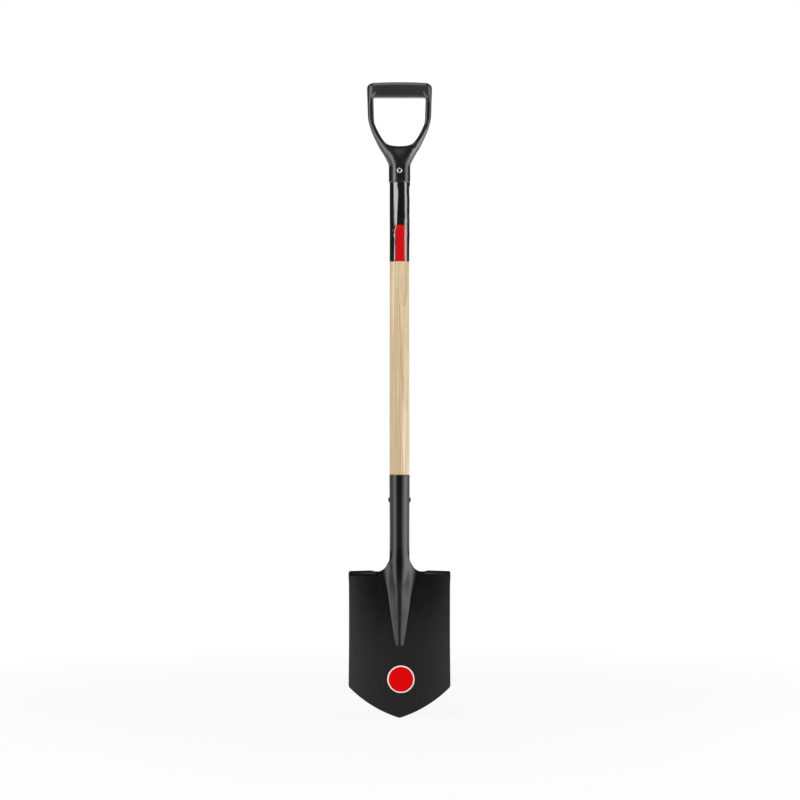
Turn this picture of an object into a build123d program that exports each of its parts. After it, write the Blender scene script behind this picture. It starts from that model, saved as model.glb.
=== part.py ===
from build123d import *
from math import asin, atan2, cos, degrees, hypot, radians, sin, sqrt, tan
import os

# Pointed digging spade: a pressed steel blade with a rolled socket, riveted to an ash shaft that
# carries a moulded D-grip. Millimetres, +Z up, blade front facing -Y. Heights are above the blade's
# tip, and the finished pieces are moved down so that the origin is under the hand bar, where the
# spade hangs.
HANG_HEIGHT = 1152.0

# Pressed sheet
SHEET = 2.0
LAP_STEP = 0.1  # the plate lies this far inside both skins of what laps over it
LIFT = 5.0  # degrees that the blade leans forward from the shaft
LIFT_BEND_TOP = 330.0
LIFT_BEND_LENGTH = 40.0
DISH_RADIUS = 320.0

# Blade outline, in the blade's own plane
HALF_WIDTH = 94.8
POINT_CORNER_HEIGHT = 57.7
POINT_APEX = -0.3  # where the point's two curves would meet, before its round
POINT_BULGE = (48.5, 21.4)  # half-width and height midway along the curved point
POINT_CORNER_RADIUS = 7.0
TIP_RADIUS = 6.0
SHOULDER_HEIGHT = 271.0

# Treads, folded to the rear along the blade's top edges
TREAD_INNER = 46.0
TREAD_OUTER = 95.0
TREAD_HEIGHT = 272.6
TREAD_RISE = 2.0  # degrees that each tread climbs towards the socket
TREAD_BEND_RADIUS = 5.0
TREAD_DEPTH = 16.0
TREAD_LEG = 14.0
TREAD_CORNER_RADIUS = 4.0

# Rolled socket: height and outer radius
SOCKET = ((450.0, 19.05), (420.0, 19.0), (385.0, 18.55), (350.0, 18.15), (319.0, 18.15))
SEAM_HALF_ANGLE = 177.0
ROLL_TOP = 312.0  # above this the sheet is rolled round
ROLL_BOTTOM = 284.0  # below this the sheet lies open behind the ridge
# Cut edge of the sheet, from the seam round to the shoulder: height and distance from the crest
NECK_EDGE = (
    (346.0, 57.0),
    (336.0, 54.0),
    (328.0, 48.0),
    (320.0, 39.0),
    (312.0, 30.5),
    (304.0, 25.6),
    (298.0, 24.2),
    (290.0, 25.0),
    (284.0, 28.8),
    (278.0, 33.5),
    (272.0, 44.0),
    (266.0, 48.0),
)

# Ridge that runs down from the socket: height, crest, base half-width, crest and fillet radius
RIDGE = (
    (284.0, 18.1, 30.0, 18.0, 7.0),
    (272.0, 17.8, 29.3, 17.5, 7.0),
    (234.0, 13.6, 22.6, 11.5, 6.0),
    (199.0, 9.6, 16.8, 8.0, 5.5),
    (165.0, 6.8, 12.4, 6.5, 5.0),
    (142.0, 5.0, 9.4, 5.5, 4.5),
    (136.5, 3.4, 8.6, 5.5, 4.5),
    (132.0, 0.7, 7.6, 8.0, 8.0),
    (126.0, 0.05, 6.0, 30.0, 30.0),
)
RIDGE_MARGIN = 12.0  # flat sheet beside the ridge that laps over the plate
LAP_INSET = 3.0  # how far outside the ridge's base the plate begins
# Distances along the centre line from the tip at which the strip's sections lie
STRIP_STATIONS = (
    (451.2, 435.0, 420.0, 402.0, 385.0, 368.0, 352.0, 344.0, 336.0, 328.0, 320.0, 312.0)
    + (307.0, 302.0, 297.0, 292.0, 288.0, 284.0, 280.0, 276.0, 272.0, 267.0, 260.0, 248.0)
    + (234.0, 216.0, 199.0, 182.0, 165.0, 153.0, 142.0, 136.5, 132.0, 126.0, 120.0)
)
SECTION_POINTS = 49
HEADING_STEPS = 20  # steps between two points of a section

# Socket rivet, through from side to side
RIVET_HEIGHT = 403.0
RIVET_RADIUS = 3.0
RIVET_HEAD_RADIUS = 5.2
RIVET_HEAD_RISE = 2.4
HOLE_ROOM = 0.1

# Ash shaft
SHAFT_RADIUS_LOW = 18.6
SHAFT_RADIUS_MIDDLE = 18.4
SHAFT_RADIUS_TOP = 18.15
SHAFT_END = 326.0
SHAFT_SHOULDER = 450.4
SHAFT_MIDDLE = 650.0
SHAFT_EDGE = 1.0
SPIGOT_ROOM = 0.15

# Shrink film sleeve
SLEEVE_BOTTOM = 846.5
SLEEVE_FILM = 0.3

# D-grip
GRIP_BOTTOM = 993.5
GRIP_BORE_TOP = 1046.0
GRIP_BORE_RADIUS = 16.7
GRIP_RIM_ROUND = 1.0
# height, half-width, half-depth and corner radius of the yoke and arms
GRIP_SECTIONS = (
    (1028.0, 19.9, 19.9, 19.6),
    (1039.5, 25.7, 19.2, 18.0),
    (1051.0, 32.0, 17.6, 15.0),
    (1062.5, 38.4, 15.6, 12.0),
    (1074.0, 44.1, 13.9, 9.8),
    (1085.5, 49.6, 12.8, 8.2),
    (1097.0, 53.8, 12.1, 7.2),
    (1108.5, 57.0, 11.7, 6.5),
    (1120.0, 58.3, 11.5, 6.1),
    (1131.5, 58.8, 11.5, 6.0),
    (1143.0, 59.2, 12.1, 7.0),
    (1154.5, 59.7, 13.6, 10.5),
    (1166.0, 60.1, 14.4, 13.0),
    (1177.5, 60.2, 14.5, 13.8),
    (1189.0, 60.2, 14.5, 13.8),
)
GRIP_TOP = 1180.0
GRIP_CROWN_RADIUS = 800.0
GRIP_TOP_RADIUS = 9.0
OPENING_HALF_WIDTH = 48.2
OPENING_CORNER_RADIUS = 3.0
OPENING_CURVE = ((46.9, 1113.0), (39.9, 1090.8), (24.7, 1068.5), (0.0, 1063.7))
OPENING_EDGE_RADIUS = 4.5

# Grip screw
SCREW_HEIGHT = 1015.5
SCREW_HEAD_RADIUS = 4.9
SCREW_HEAD_RISE = 3.0
SCREW_HEAD_RIM = 1.2
SCREW_SHANK_RADIUS = 2.2
SCREW_LENGTH = 28.0
SCREW_POINT = 4.0
SCREW_TIP_RADIUS = 0.3
SCREW_SEAT = 19.0  # distance of the spot face from the shaft's axis
SCREW_SEAT_RADIUS = 5.8
RECESS_LENGTH = 5.2
RECESS_WIDTH = 1.2
RECESS_DEPTH = 1.6

# Round label on the blade's front
LABEL_RADIUS = 26.0
LABEL_CENTRE = (2.0, 71.0)
LABEL_FILM = 0.25

REACH = 80.0  # half-length of cutters that go right through


def between(stations, height):
    """Values of a list of stations, interpolated at a height."""
    rows = sorted(stations)
    height = min(max(height, rows[0][0]), rows[-1][0])
    for low, high in zip(rows, rows[1:]):
        if height <= high[0]:
            share = (height - low[0]) / (high[0] - low[0])
            return [a + share * (b - a) for a, b in zip(low[1:], high[1:])]


def blade_plane(station):
    """Plane square to the blade's bent centre line, at a distance along it from the tip."""
    bend_radius = LIFT_BEND_LENGTH / radians(LIFT)
    bend_bottom = LIFT_BEND_TOP - bend_radius * sin(radians(LIFT))
    bend_back = bend_radius * (1 - cos(radians(LIFT)))
    straight = bend_bottom / cos(radians(LIFT))
    if station >= straight + LIFT_BEND_LENGTH:
        rise = station - straight - LIFT_BEND_LENGTH
        return Plane((0, 0, LIFT_BEND_TOP + rise), x_dir=(1, 0, 0), z_dir=(0, 0, 1))
    if station >= straight:
        angle = radians(LIFT) * (1 - (station - straight) / LIFT_BEND_LENGTH)
        origin = (0, -bend_radius * (1 - cos(angle)), LIFT_BEND_TOP - bend_radius * sin(angle))
    else:
        angle = radians(LIFT)
        drop = straight - station
        origin = (0, -bend_back - drop * sin(angle), bend_bottom - drop * cos(angle))
    return Plane(origin, x_dir=(1, 0, 0), z_dir=(0, sin(angle), cos(angle)))


def dish(x):
    """How far the dished plate's front stands forward (-Y) at a distance from its middle."""
    return sqrt(DISH_RADIUS**2 - x**2) - DISH_RADIUS


def ridge_profile(station):
    """Length of the half-section from crest to edge, and its heading at a share of that length."""
    crest, base, crest_radius, fillet_radius = between(RIDGE, station)
    rise = crest - fillet_radius - crest_radius
    spread = hypot(base, rise)
    slope = atan2(rise, base) + asin((crest_radius + fillet_radius) / spread)
    flank = sqrt(spread**2 - (crest_radius + fillet_radius) ** 2)
    flank_start = crest_radius * slope
    flank_end = flank_start + flank
    fillet_end = flank_end + fillet_radius * slope
    length = fillet_end + RIDGE_MARGIN

    def heading(share):
        travel = share * length
        if travel < flank_start:
            return travel / crest_radius
        if travel < flank_end:
            return slope
        return max(0.0, (fillet_end - travel) / fillet_radius)

    return crest, length, heading


def strip_front(station):
    """Front skin of the strip from edge to edge: a rolled socket above, a ridge below."""
    rolled = (station - ROLL_BOTTOM) / (ROLL_TOP - ROLL_BOTTOM)
    rolled = min(max(rolled, 0.0), 1.0)
    rolled = rolled * rolled * (3 - 2 * rolled)
    radius = between(SOCKET, station)[0]
    crest, ridge_length, ridge_heading = ridge_profile(station)
    seam = radians(SEAM_HALF_ANGLE)
    length = ridge_length + rolled * (radius * seam - ridge_length)
    kept = 1.0
    if NECK_EDGE[-1][0] < station < NECK_EDGE[0][0]:
        kept = min(1.0, between(NECK_EDGE, station)[0] / length)
    x = 0.0
    y = -(crest + rolled * (radius - crest))
    steps = SECTION_POINTS // 2 * HEADING_STEPS
    half = [Vector(x, y)]
    for i in range(steps):
        share = kept * (i + 0.5) / steps
        heading = (1 - rolled) * ridge_heading(share) + rolled * seam * share
        x += cos(heading) * kept * length / steps
        y += sin(heading) * kept * length / steps
        if (i + 1) % HEADING_STEPS == 0:
            half.append(Vector(x, y + (1 - rolled) * dish(x)))
    return [Vector(-p.X, p.Y) for p in half[:0:-1]] + half


def strip_section(station):
    """Cross-section of the strip, one sheet thick."""
    front = strip_front(station)
    back = []
    for i, point in enumerate(front):
        along = front[min(i + 1, len(front) - 1)] - front[max(i - 1, 0)]
        inward = Vector(-along.Y, along.X).normalized()
        back.append(point + inward * SHEET)
    parameters = [i / (SECTION_POINTS - 1) for i in range(SECTION_POINTS)]
    edges = [
        Edge.make_spline(front, parameters=parameters),
        Edge.make_line(front[-1], back[-1]),
        Edge.make_spline(back[::-1], parameters=parameters),
        Edge.make_line(back[0], front[0]),
    ]
    return blade_plane(station).location * Face(Wire(edges))


def front_prism(outline, frame=Location()):
    """Prism along Y through a closed outline drawn in a front view."""
    return frame * extrude(Plane.XZ * outline, amount=REACH, both=True)


def both_sides(part):
    """A part with its mirror image on the other side of the spade."""
    return part + mirror(part, about=Plane.YZ)


def around_dish(profile, start, stop):
    """Sweep a side profile (y, z) round the dish's axis between two distances from the middle."""
    axis = Axis((0, -DISH_RADIUS, 0), (0, 0, 1))
    near = degrees(asin(start / DISH_RADIUS))
    far = degrees(asin(stop / DISH_RADIUS))
    return revolve(Plane.YZ * profile, axis, far - near).rotate(axis, -far)


def skin(front, back):
    """Layer of the dished blade between two depths behind its front."""
    height = SHOULDER_HEIGHT + REACH
    profile = Pos((front + back) / 2, height / 2 - REACH / 2) * Rectangle(back - front, height)
    return around_dish(profile, -HALF_WIDTH - SHEET, HALF_WIDTH + SHEET)


def make_strip():
    """Ridge and rolled socket as one lofted strip."""
    return loft([strip_section(station) for station in STRIP_STATIONS])


def plate_outline():
    """Front outline of the plate: curved point, straight sides, top edges under the treads."""
    corner = (HALF_WIDTH, POINT_CORNER_HEIGHT)
    climb = (TREAD_OUTER - TREAD_INNER) / 2 * tan(radians(TREAD_RISE))
    top = TREAD_HEIGHT - TREAD_BEND_RADIUS - TREAD_LEG / 2
    point = ThreePointArc((0, POINT_APEX), POINT_BULGE, corner)
    sides = Polyline(
        corner,
        (HALF_WIDTH, top - climb),
        (TREAD_INNER, top + climb),
        (TREAD_INNER, SHOULDER_HEIGHT),
        (0, SHOULDER_HEIGHT),
    )
    half = point + sides
    outline = make_face(half + mirror(half, about=Plane.YZ))
    outline = fillet(outline.vertices().sort_by(Axis.Y)[0], TIP_RADIUS)
    corners = outline.vertices().filter_by(lambda v: abs(v.Y - POINT_CORNER_HEIGHT) < SHEET)
    return fillet(corners, POINT_CORNER_RADIUS)


def ridge_gap():
    """Tongue left open in the plate behind the ridge."""
    side = [(base + LAP_INSET, height) for height, _, base, *_ in RIDGE[:-2]]
    top = (side[0][0], SHOULDER_HEIGHT + REACH)
    points = [top] + side
    return make_face(Polyline(*points, *[(-x, y) for x, y in reversed(points)], close=True))


def make_tread():
    """Left tread: the plate's top edge folded to the rear, climbing towards the socket."""
    low = TREAD_HEIGHT - TREAD_BEND_RADIUS - TREAD_LEG
    inner_radius = TREAD_BEND_RADIUS - SHEET
    outer = FilletPolyline(
        (0, low), (0, TREAD_HEIGHT), (TREAD_DEPTH, TREAD_HEIGHT), radius=TREAD_BEND_RADIUS
    )
    inner = FilletPolyline(
        (SHEET, low),
        (SHEET, TREAD_HEIGHT - SHEET),
        (TREAD_DEPTH, TREAD_HEIGHT - SHEET),
        radius=inner_radius,
    )
    profile = make_face(outer + inner + Line(outer @ 0, inner @ 0) + Line(outer @ 1, inner @ 1))
    ends = front_prism(Rectangle(2 * TREAD_OUTER, 3 * TREAD_HEIGHT))
    tread = around_dish(profile, -TREAD_OUTER - SHEET, -TREAD_INNER) & ends
    corners = tread.edges().filter_by(Axis.Z).filter_by(lambda e: abs(e.length - SHEET) < LAP_STEP)
    tread = fillet(corners, TREAD_CORNER_RADIUS)
    middle = Axis((-(TREAD_INNER + TREAD_OUTER) / 2, 0, TREAD_HEIGHT), (0, 1, 0))
    return tread.rotate(middle, -TREAD_RISE)


def make_blade():
    """Blade, ridge, treads and socket: one steel pressing."""
    frame = blade_plane(0).location
    plate = skin(LAP_STEP, SHEET - LAP_STEP)
    plate = plate & front_prism(plate_outline())
    plate = plate - front_prism(ridge_gap())
    blade = make_strip() + frame * (plate + both_sides(make_tread()))
    hole = Pos(0, 0, RIVET_HEIGHT) * Rot(0, 90, 0) * Cylinder(RIVET_RADIUS + HOLE_ROOM, 2 * REACH)
    return blade - hole


def make_label():
    """Round label stuck on the blade's front."""
    disc = Pos(*LABEL_CENTRE) * Circle(LABEL_RADIUS)
    label = skin(LAP_STEP - LABEL_FILM, LAP_STEP) & front_prism(disc)
    return blade_plane(0).location * label


def make_rivet():
    """Through rivet with a domed head on each side, bedded on the socket."""
    outside = between(SOCKET, RIVET_HEIGHT)[0]
    dome_radius = (RIVET_HEAD_RADIUS**2 + RIVET_HEAD_RISE**2) / (2 * RIVET_HEAD_RISE)
    dome = Pos(outside + RIVET_HEAD_RISE - dome_radius, 0, RIVET_HEIGHT) * Sphere(dome_radius)
    bed = Pos(0, 0, RIVET_HEIGHT) * Cylinder(outside + HOLE_ROOM, 4 * dome_radius)
    shank = Pos(0, 0, RIVET_HEIGHT) * Rot(0, 90, 0) * Cylinder(RIVET_RADIUS, 2 * outside + SHEET)
    return both_sides(dome - bed) + shank


def make_shaft():
    """Ash shaft, turned down at both ends, drilled for the rivet and the screw."""
    room = SHEET + SPIGOT_ROOM
    spigot = [(between(SOCKET, h)[0] - room, h) for h in (SHAFT_END, 350, 385, 420, SHAFT_SHOULDER)]
    spigot_top = (GRIP_BORE_RADIUS - SPIGOT_ROOM, GRIP_BORE_TOP - SHAFT_EDGE)
    shoulder_top = GRIP_BOTTOM - SPIGOT_ROOM
    profile = Polyline(
        (0, SHAFT_END),
        *spigot,
        (SHAFT_RADIUS_LOW - SHAFT_EDGE, SHAFT_SHOULDER),
        (SHAFT_RADIUS_LOW, SHAFT_SHOULDER + SHAFT_EDGE),
        (SHAFT_RADIUS_MIDDLE, SHAFT_MIDDLE),
        (SHAFT_RADIUS_TOP, SLEEVE_BOTTOM - SHAFT_EDGE),
        (SHAFT_RADIUS_TOP, shoulder_top),
        (spigot_top[0], shoulder_top),
        spigot_top,
        (0, spigot_top[1]),
        close=True,
    )
    shaft = revolve(Plane.XZ * make_face(profile), Axis.Z)
    rivet_hole = Pos(0, 0, RIVET_HEIGHT) * Rot(0, 90, 0) * Cylinder(RIVET_RADIUS + HOLE_ROOM, 2 * REACH)
    return shaft - rivet_hole - screw_hole(SCREW_SHANK_RADIUS + HOLE_ROOM)


def make_sleeve():
    """Shrink film round the top of the shaft."""
    profile = Pos(SHAFT_RADIUS_TOP, SLEEVE_BOTTOM) * Rectangle(
        SLEEVE_FILM, GRIP_BOTTOM - SPIGOT_ROOM - SLEEVE_BOTTOM, align=(Align.MIN, Align.MIN)
    )
    return revolve(Plane.XZ * profile, Axis.Z)


def grip_section(height, half_width, half_depth, corner):
    """Rounded cross-section of the yoke and arms."""
    return Pos(0, 0, height) * RectangleRounded(2 * half_width, 2 * half_depth, corner)


def screw_hole(radius):
    """Hole for the grip screw, from the front of the grip into the shaft."""
    return screw_frame() * Pos(0, 0, -SCREW_LENGTH / 2) * Cylinder(radius, SCREW_LENGTH + SHEET)


def screw_frame():
    """Place of the screw: on the spot face, with its head towards the front."""
    return Plane((0, -SCREW_SEAT, SCREW_HEIGHT), x_dir=(1, 0, 0), z_dir=(0, -1, 0)).location


def hand_opening():
    """D-shaped opening for the hand, under the bar."""
    corner = (OPENING_HALF_WIDTH, HANG_HEIGHT)
    top = FilletPolyline((0, HANG_HEIGHT), corner, OPENING_CURVE[0], radius=OPENING_CORNER_RADIUS)
    curve = Spline(*OPENING_CURVE, tangents=[top % 1, (-1, 0)])
    half = top + curve
    return front_prism(make_face(half + mirror(half, about=Plane.YZ)))


def make_grip():
    """D-grip: socket, yoke, arms and hand bar in one moulding, bored and drilled for the shaft."""
    crown = Rot(90, 0, 0) * Cylinder(GRIP_CROWN_RADIUS, 2 * REACH)
    crown = Pos(0, 0, GRIP_TOP - GRIP_CROWN_RADIUS) * crown
    body = loft([grip_section(*section) for section in GRIP_SECTIONS]) & crown
    tops = body.edges().filter_by(lambda e: e.bounding_box().min.Z > GRIP_SECTIONS[-3][0])
    body = fillet(tops, GRIP_TOP_RADIUS)
    opening = hand_opening()
    body = body - opening
    rims = body.edges().filter_by(lambda e: opening.distance_to(e @ 0.5) < HOLE_ROOM)
    rims = rims.filter_by(lambda e: e.bounding_box().min.Y * e.bounding_box().max.Y > SHEET)
    body = fillet(rims, OPENING_EDGE_RADIUS)
    socket = extrude(grip_section(*GRIP_SECTIONS[0]), GRIP_BOTTOM - GRIP_SECTIONS[0][0])
    socket = fillet(socket.faces().sort_by(Axis.Z)[0].edges(), GRIP_RIM_ROUND)
    bore_length = GRIP_BORE_TOP - GRIP_BOTTOM
    bore = Pos(0, 0, GRIP_BOTTOM + bore_length / 2) * Cylinder(GRIP_BORE_RADIUS, bore_length)
    spot_face = screw_frame() * Pos(0, 0, REACH / 2) * Cylinder(SCREW_SEAT_RADIUS, REACH)
    return body + socket - bore - spot_face - screw_hole(SCREW_SHANK_RADIUS + HOLE_ROOM)


def make_screw():
    """Pan-head screw with a cross recess and a plain pointed shank."""
    rim = (SCREW_HEAD_RADIUS, SCREW_HEAD_RIM)
    top = (0, SCREW_HEAD_RISE)
    crown = Spline(rim, top, tangents=[(0, 1), (-1, 0)])
    head_profile = crown + Polyline(top, (0, 0), (SCREW_HEAD_RADIUS, 0), rim)
    head = revolve(Plane.XZ * make_face(head_profile), Axis.Z)
    arm = Box(RECESS_LENGTH, RECESS_WIDTH, 2 * RECESS_DEPTH)
    recess = Pos(0, 0, SCREW_HEAD_RISE) * (arm + Rot(0, 0, 90) * arm)
    straight = SCREW_LENGTH - SCREW_POINT
    shank = Pos(0, 0, -straight / 2) * Cylinder(SCREW_SHANK_RADIUS, straight)
    tip = Rot(180, 0, 0) * Cone(SCREW_SHANK_RADIUS, SCREW_TIP_RADIUS, SCREW_POINT)
    point = Pos(0, 0, -straight - SCREW_POINT / 2) * tip
    return screw_frame() * (head - recess + shank + point)


PIECES = {
    "blade": make_blade,
    "blade_label": make_label,
    "socket_rivet": make_rivet,
    "shaft": make_shaft,
    "shaft_sleeve": make_sleeve,
    "d_grip": make_grip,
    "grip_screw": make_screw,
}

os.makedirs("parts", exist_ok=True)
for name, make in PIECES.items():
    piece = Pos(0, 0, -HANG_HEIGHT) * make()
    export_step(piece, f"parts/{name}.step")
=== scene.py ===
import logging
import math
from dataclasses import dataclass, field
from enum import Enum
from typing import Mapping, Optional, Sequence, Union

import bmesh
import bpy
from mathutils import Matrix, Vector, noise


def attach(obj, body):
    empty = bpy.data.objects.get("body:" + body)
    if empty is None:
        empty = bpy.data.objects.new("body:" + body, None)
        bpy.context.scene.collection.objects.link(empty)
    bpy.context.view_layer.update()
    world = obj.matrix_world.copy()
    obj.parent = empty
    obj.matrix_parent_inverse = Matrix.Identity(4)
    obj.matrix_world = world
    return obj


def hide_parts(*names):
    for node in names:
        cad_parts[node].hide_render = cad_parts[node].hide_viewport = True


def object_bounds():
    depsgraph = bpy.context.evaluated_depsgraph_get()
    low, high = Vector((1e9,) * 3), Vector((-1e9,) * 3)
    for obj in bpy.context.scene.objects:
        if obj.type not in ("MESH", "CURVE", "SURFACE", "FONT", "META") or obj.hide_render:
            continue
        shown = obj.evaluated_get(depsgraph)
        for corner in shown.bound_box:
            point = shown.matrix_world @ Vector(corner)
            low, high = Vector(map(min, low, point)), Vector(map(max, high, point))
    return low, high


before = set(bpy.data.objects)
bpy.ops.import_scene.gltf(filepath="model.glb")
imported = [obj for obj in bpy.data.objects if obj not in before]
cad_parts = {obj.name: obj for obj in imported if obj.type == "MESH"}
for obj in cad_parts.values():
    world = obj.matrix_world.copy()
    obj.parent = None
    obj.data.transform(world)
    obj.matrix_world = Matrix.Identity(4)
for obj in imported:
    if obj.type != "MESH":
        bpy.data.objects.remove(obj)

# Looks of a pointed digging spade. Sizes are in millimetres and heights are above the blade's tip.
# Blender's own units are metres, with the origin under the hand bar.
LOG = logging.getLogger("spade")
MM = 0.001
HANG_HEIGHT = 1152.0
BODY = "root"
CAD_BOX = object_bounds()
MERGE_TURNED = 0.001
MERGE_COPIED = 0.0005
MIX_COLOURS = (6, 7)
MIX_RESULT = 2
RIGHT = Vector((1, 0, 0))
REAR = Vector((0, 1, 0))
UP = Vector((0, 0, 1))

Pair = tuple[float, float]
Colour = tuple[float, float, float]
Profile = Sequence[Pair]


class Shading(Enum):
    """How a finished piece is shaded."""

    SMOOTH = 180.0
    CREASED = 32.0


class Ray(Enum):
    """Kinds of ray to which the studio looks different."""

    CAMERA = "Is Camera Ray"
    GLOSSY = "Is Glossy Ray"
    TRANSMISSION = "Is Transmission Ray"


def to_frame(x: float, y: float, height: float) -> Vector:
    """Point of the frame, in metres, from millimetres and a height above the blade's tip."""
    return Vector((x, y, height - HANG_HEIGHT)) * MM


def ease(share: float) -> float:
    """Smooth step from 0 to 1."""
    share = min(max(share, 0.0), 1.0)
    return share * share * (3 - 2 * share)


def bell(distance: float, width: float) -> float:
    """Smooth hump that is 1 in its middle and fades out over a width."""
    return math.exp(-((distance / width) ** 2))


@dataclass(frozen=True)
class Curve:
    """Smooth curve through stations, which it never overshoots.

    Attributes:
        stations: Rows of a height followed by the values there.
    """

    stations: tuple[tuple[float, ...], ...]

    def slope(self, rows: list[tuple[float, ...]], index: int, column: int) -> float:
        """Slope of one value at a station.

        Args:
            rows: Stations in order of height.
            index: Which station.
            column: Which value.

        Returns:
            The slope, which is zero at a turn.
        """
        secants = []
        for low, high in ((index - 1, index), (index, index + 1)):
            if low >= 0 and high < len(rows):
                rise = rows[high][column] - rows[low][column]
                secants.append(rise / (rows[high][0] - rows[low][0]))
        if len(secants) == 1:
            return secants[0]
        if secants[0] * secants[1] <= 0:
            return 0.0
        return 2 * secants[0] * secants[1] / (secants[0] + secants[1])

    def at(self, height: float) -> list[float]:
        """Values at a height.

        Args:
            height: Where to read the curve; outside the stations its ends hold.

        Returns:
            One value for each column after the height.
        """
        rows = sorted(self.stations)
        height = min(max(height, rows[0][0]), rows[-1][0])
        index = next(i for i in range(len(rows) - 1) if height <= rows[i + 1][0])
        low, high = rows[index], rows[index + 1]
        span = high[0] - low[0]
        t = (height - low[0]) / span
        values = []
        for column in range(1, len(low)):
            start = self.slope(rows, index, column) * span
            stop = self.slope(rows, index + 1, column) * span
            value = (2 * t**3 - 3 * t**2 + 1) * low[column] + (t**3 - 2 * t**2 + t) * start
            value += (3 * t**2 - 2 * t**3) * high[column] + (t**3 - t**2) * stop
            values.append(value)
        return values


# Shader maths


class Value:
    """A shader socket that takes part in Python arithmetic."""

    def __init__(self, graph: "Graph", socket: bpy.types.NodeSocket) -> None:
        """Keep the socket and the graph that it belongs to."""
        self.graph = graph
        self.socket = socket

    def __add__(self, other: "Number") -> "Value":
        """Sum."""
        return self.graph.math("ADD", self, other)

    def __radd__(self, other: "Number") -> "Value":
        """Sum, from the right."""
        return self.graph.math("ADD", other, self)

    def __sub__(self, other: "Number") -> "Value":
        """Difference."""
        return self.graph.math("SUBTRACT", self, other)

    def __rsub__(self, other: "Number") -> "Value":
        """Difference, from the right."""
        return self.graph.math("SUBTRACT", other, self)

    def __mul__(self, other: "Number") -> "Value":
        """Product."""
        return self.graph.math("MULTIPLY", self, other)

    def __rmul__(self, other: "Number") -> "Value":
        """Product, from the right."""
        return self.graph.math("MULTIPLY", other, self)

    def __truediv__(self, other: "Number") -> "Value":
        """Quotient."""
        return self.graph.math("DIVIDE", self, other)

    def __pow__(self, other: "Number") -> "Value":
        """Power."""
        return self.graph.math("POWER", self, other)

    def clamp(self) -> "Value":
        """The value held between 0 and 1."""
        return self.graph.math("MINIMUM", self.graph.math("MAXIMUM", self, 0.0), 1.0)


Number = Union[Value, float]
Input = Union[Value, float, int, Sequence[float]]


@dataclass(frozen=True)
class Grain:
    """A noise pattern.

    Attributes:
        scale: Lumps to a unit of the place where it is read.
        detail: Finer layers on top.
        rough: Strength of the finer layers.
        stretch: Scale of each part of the place before the noise is read, if any.
    """

    scale: float
    detail: float = 2.0
    rough: float = 0.5
    stretch: Optional[tuple[float, float, float]] = None


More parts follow.
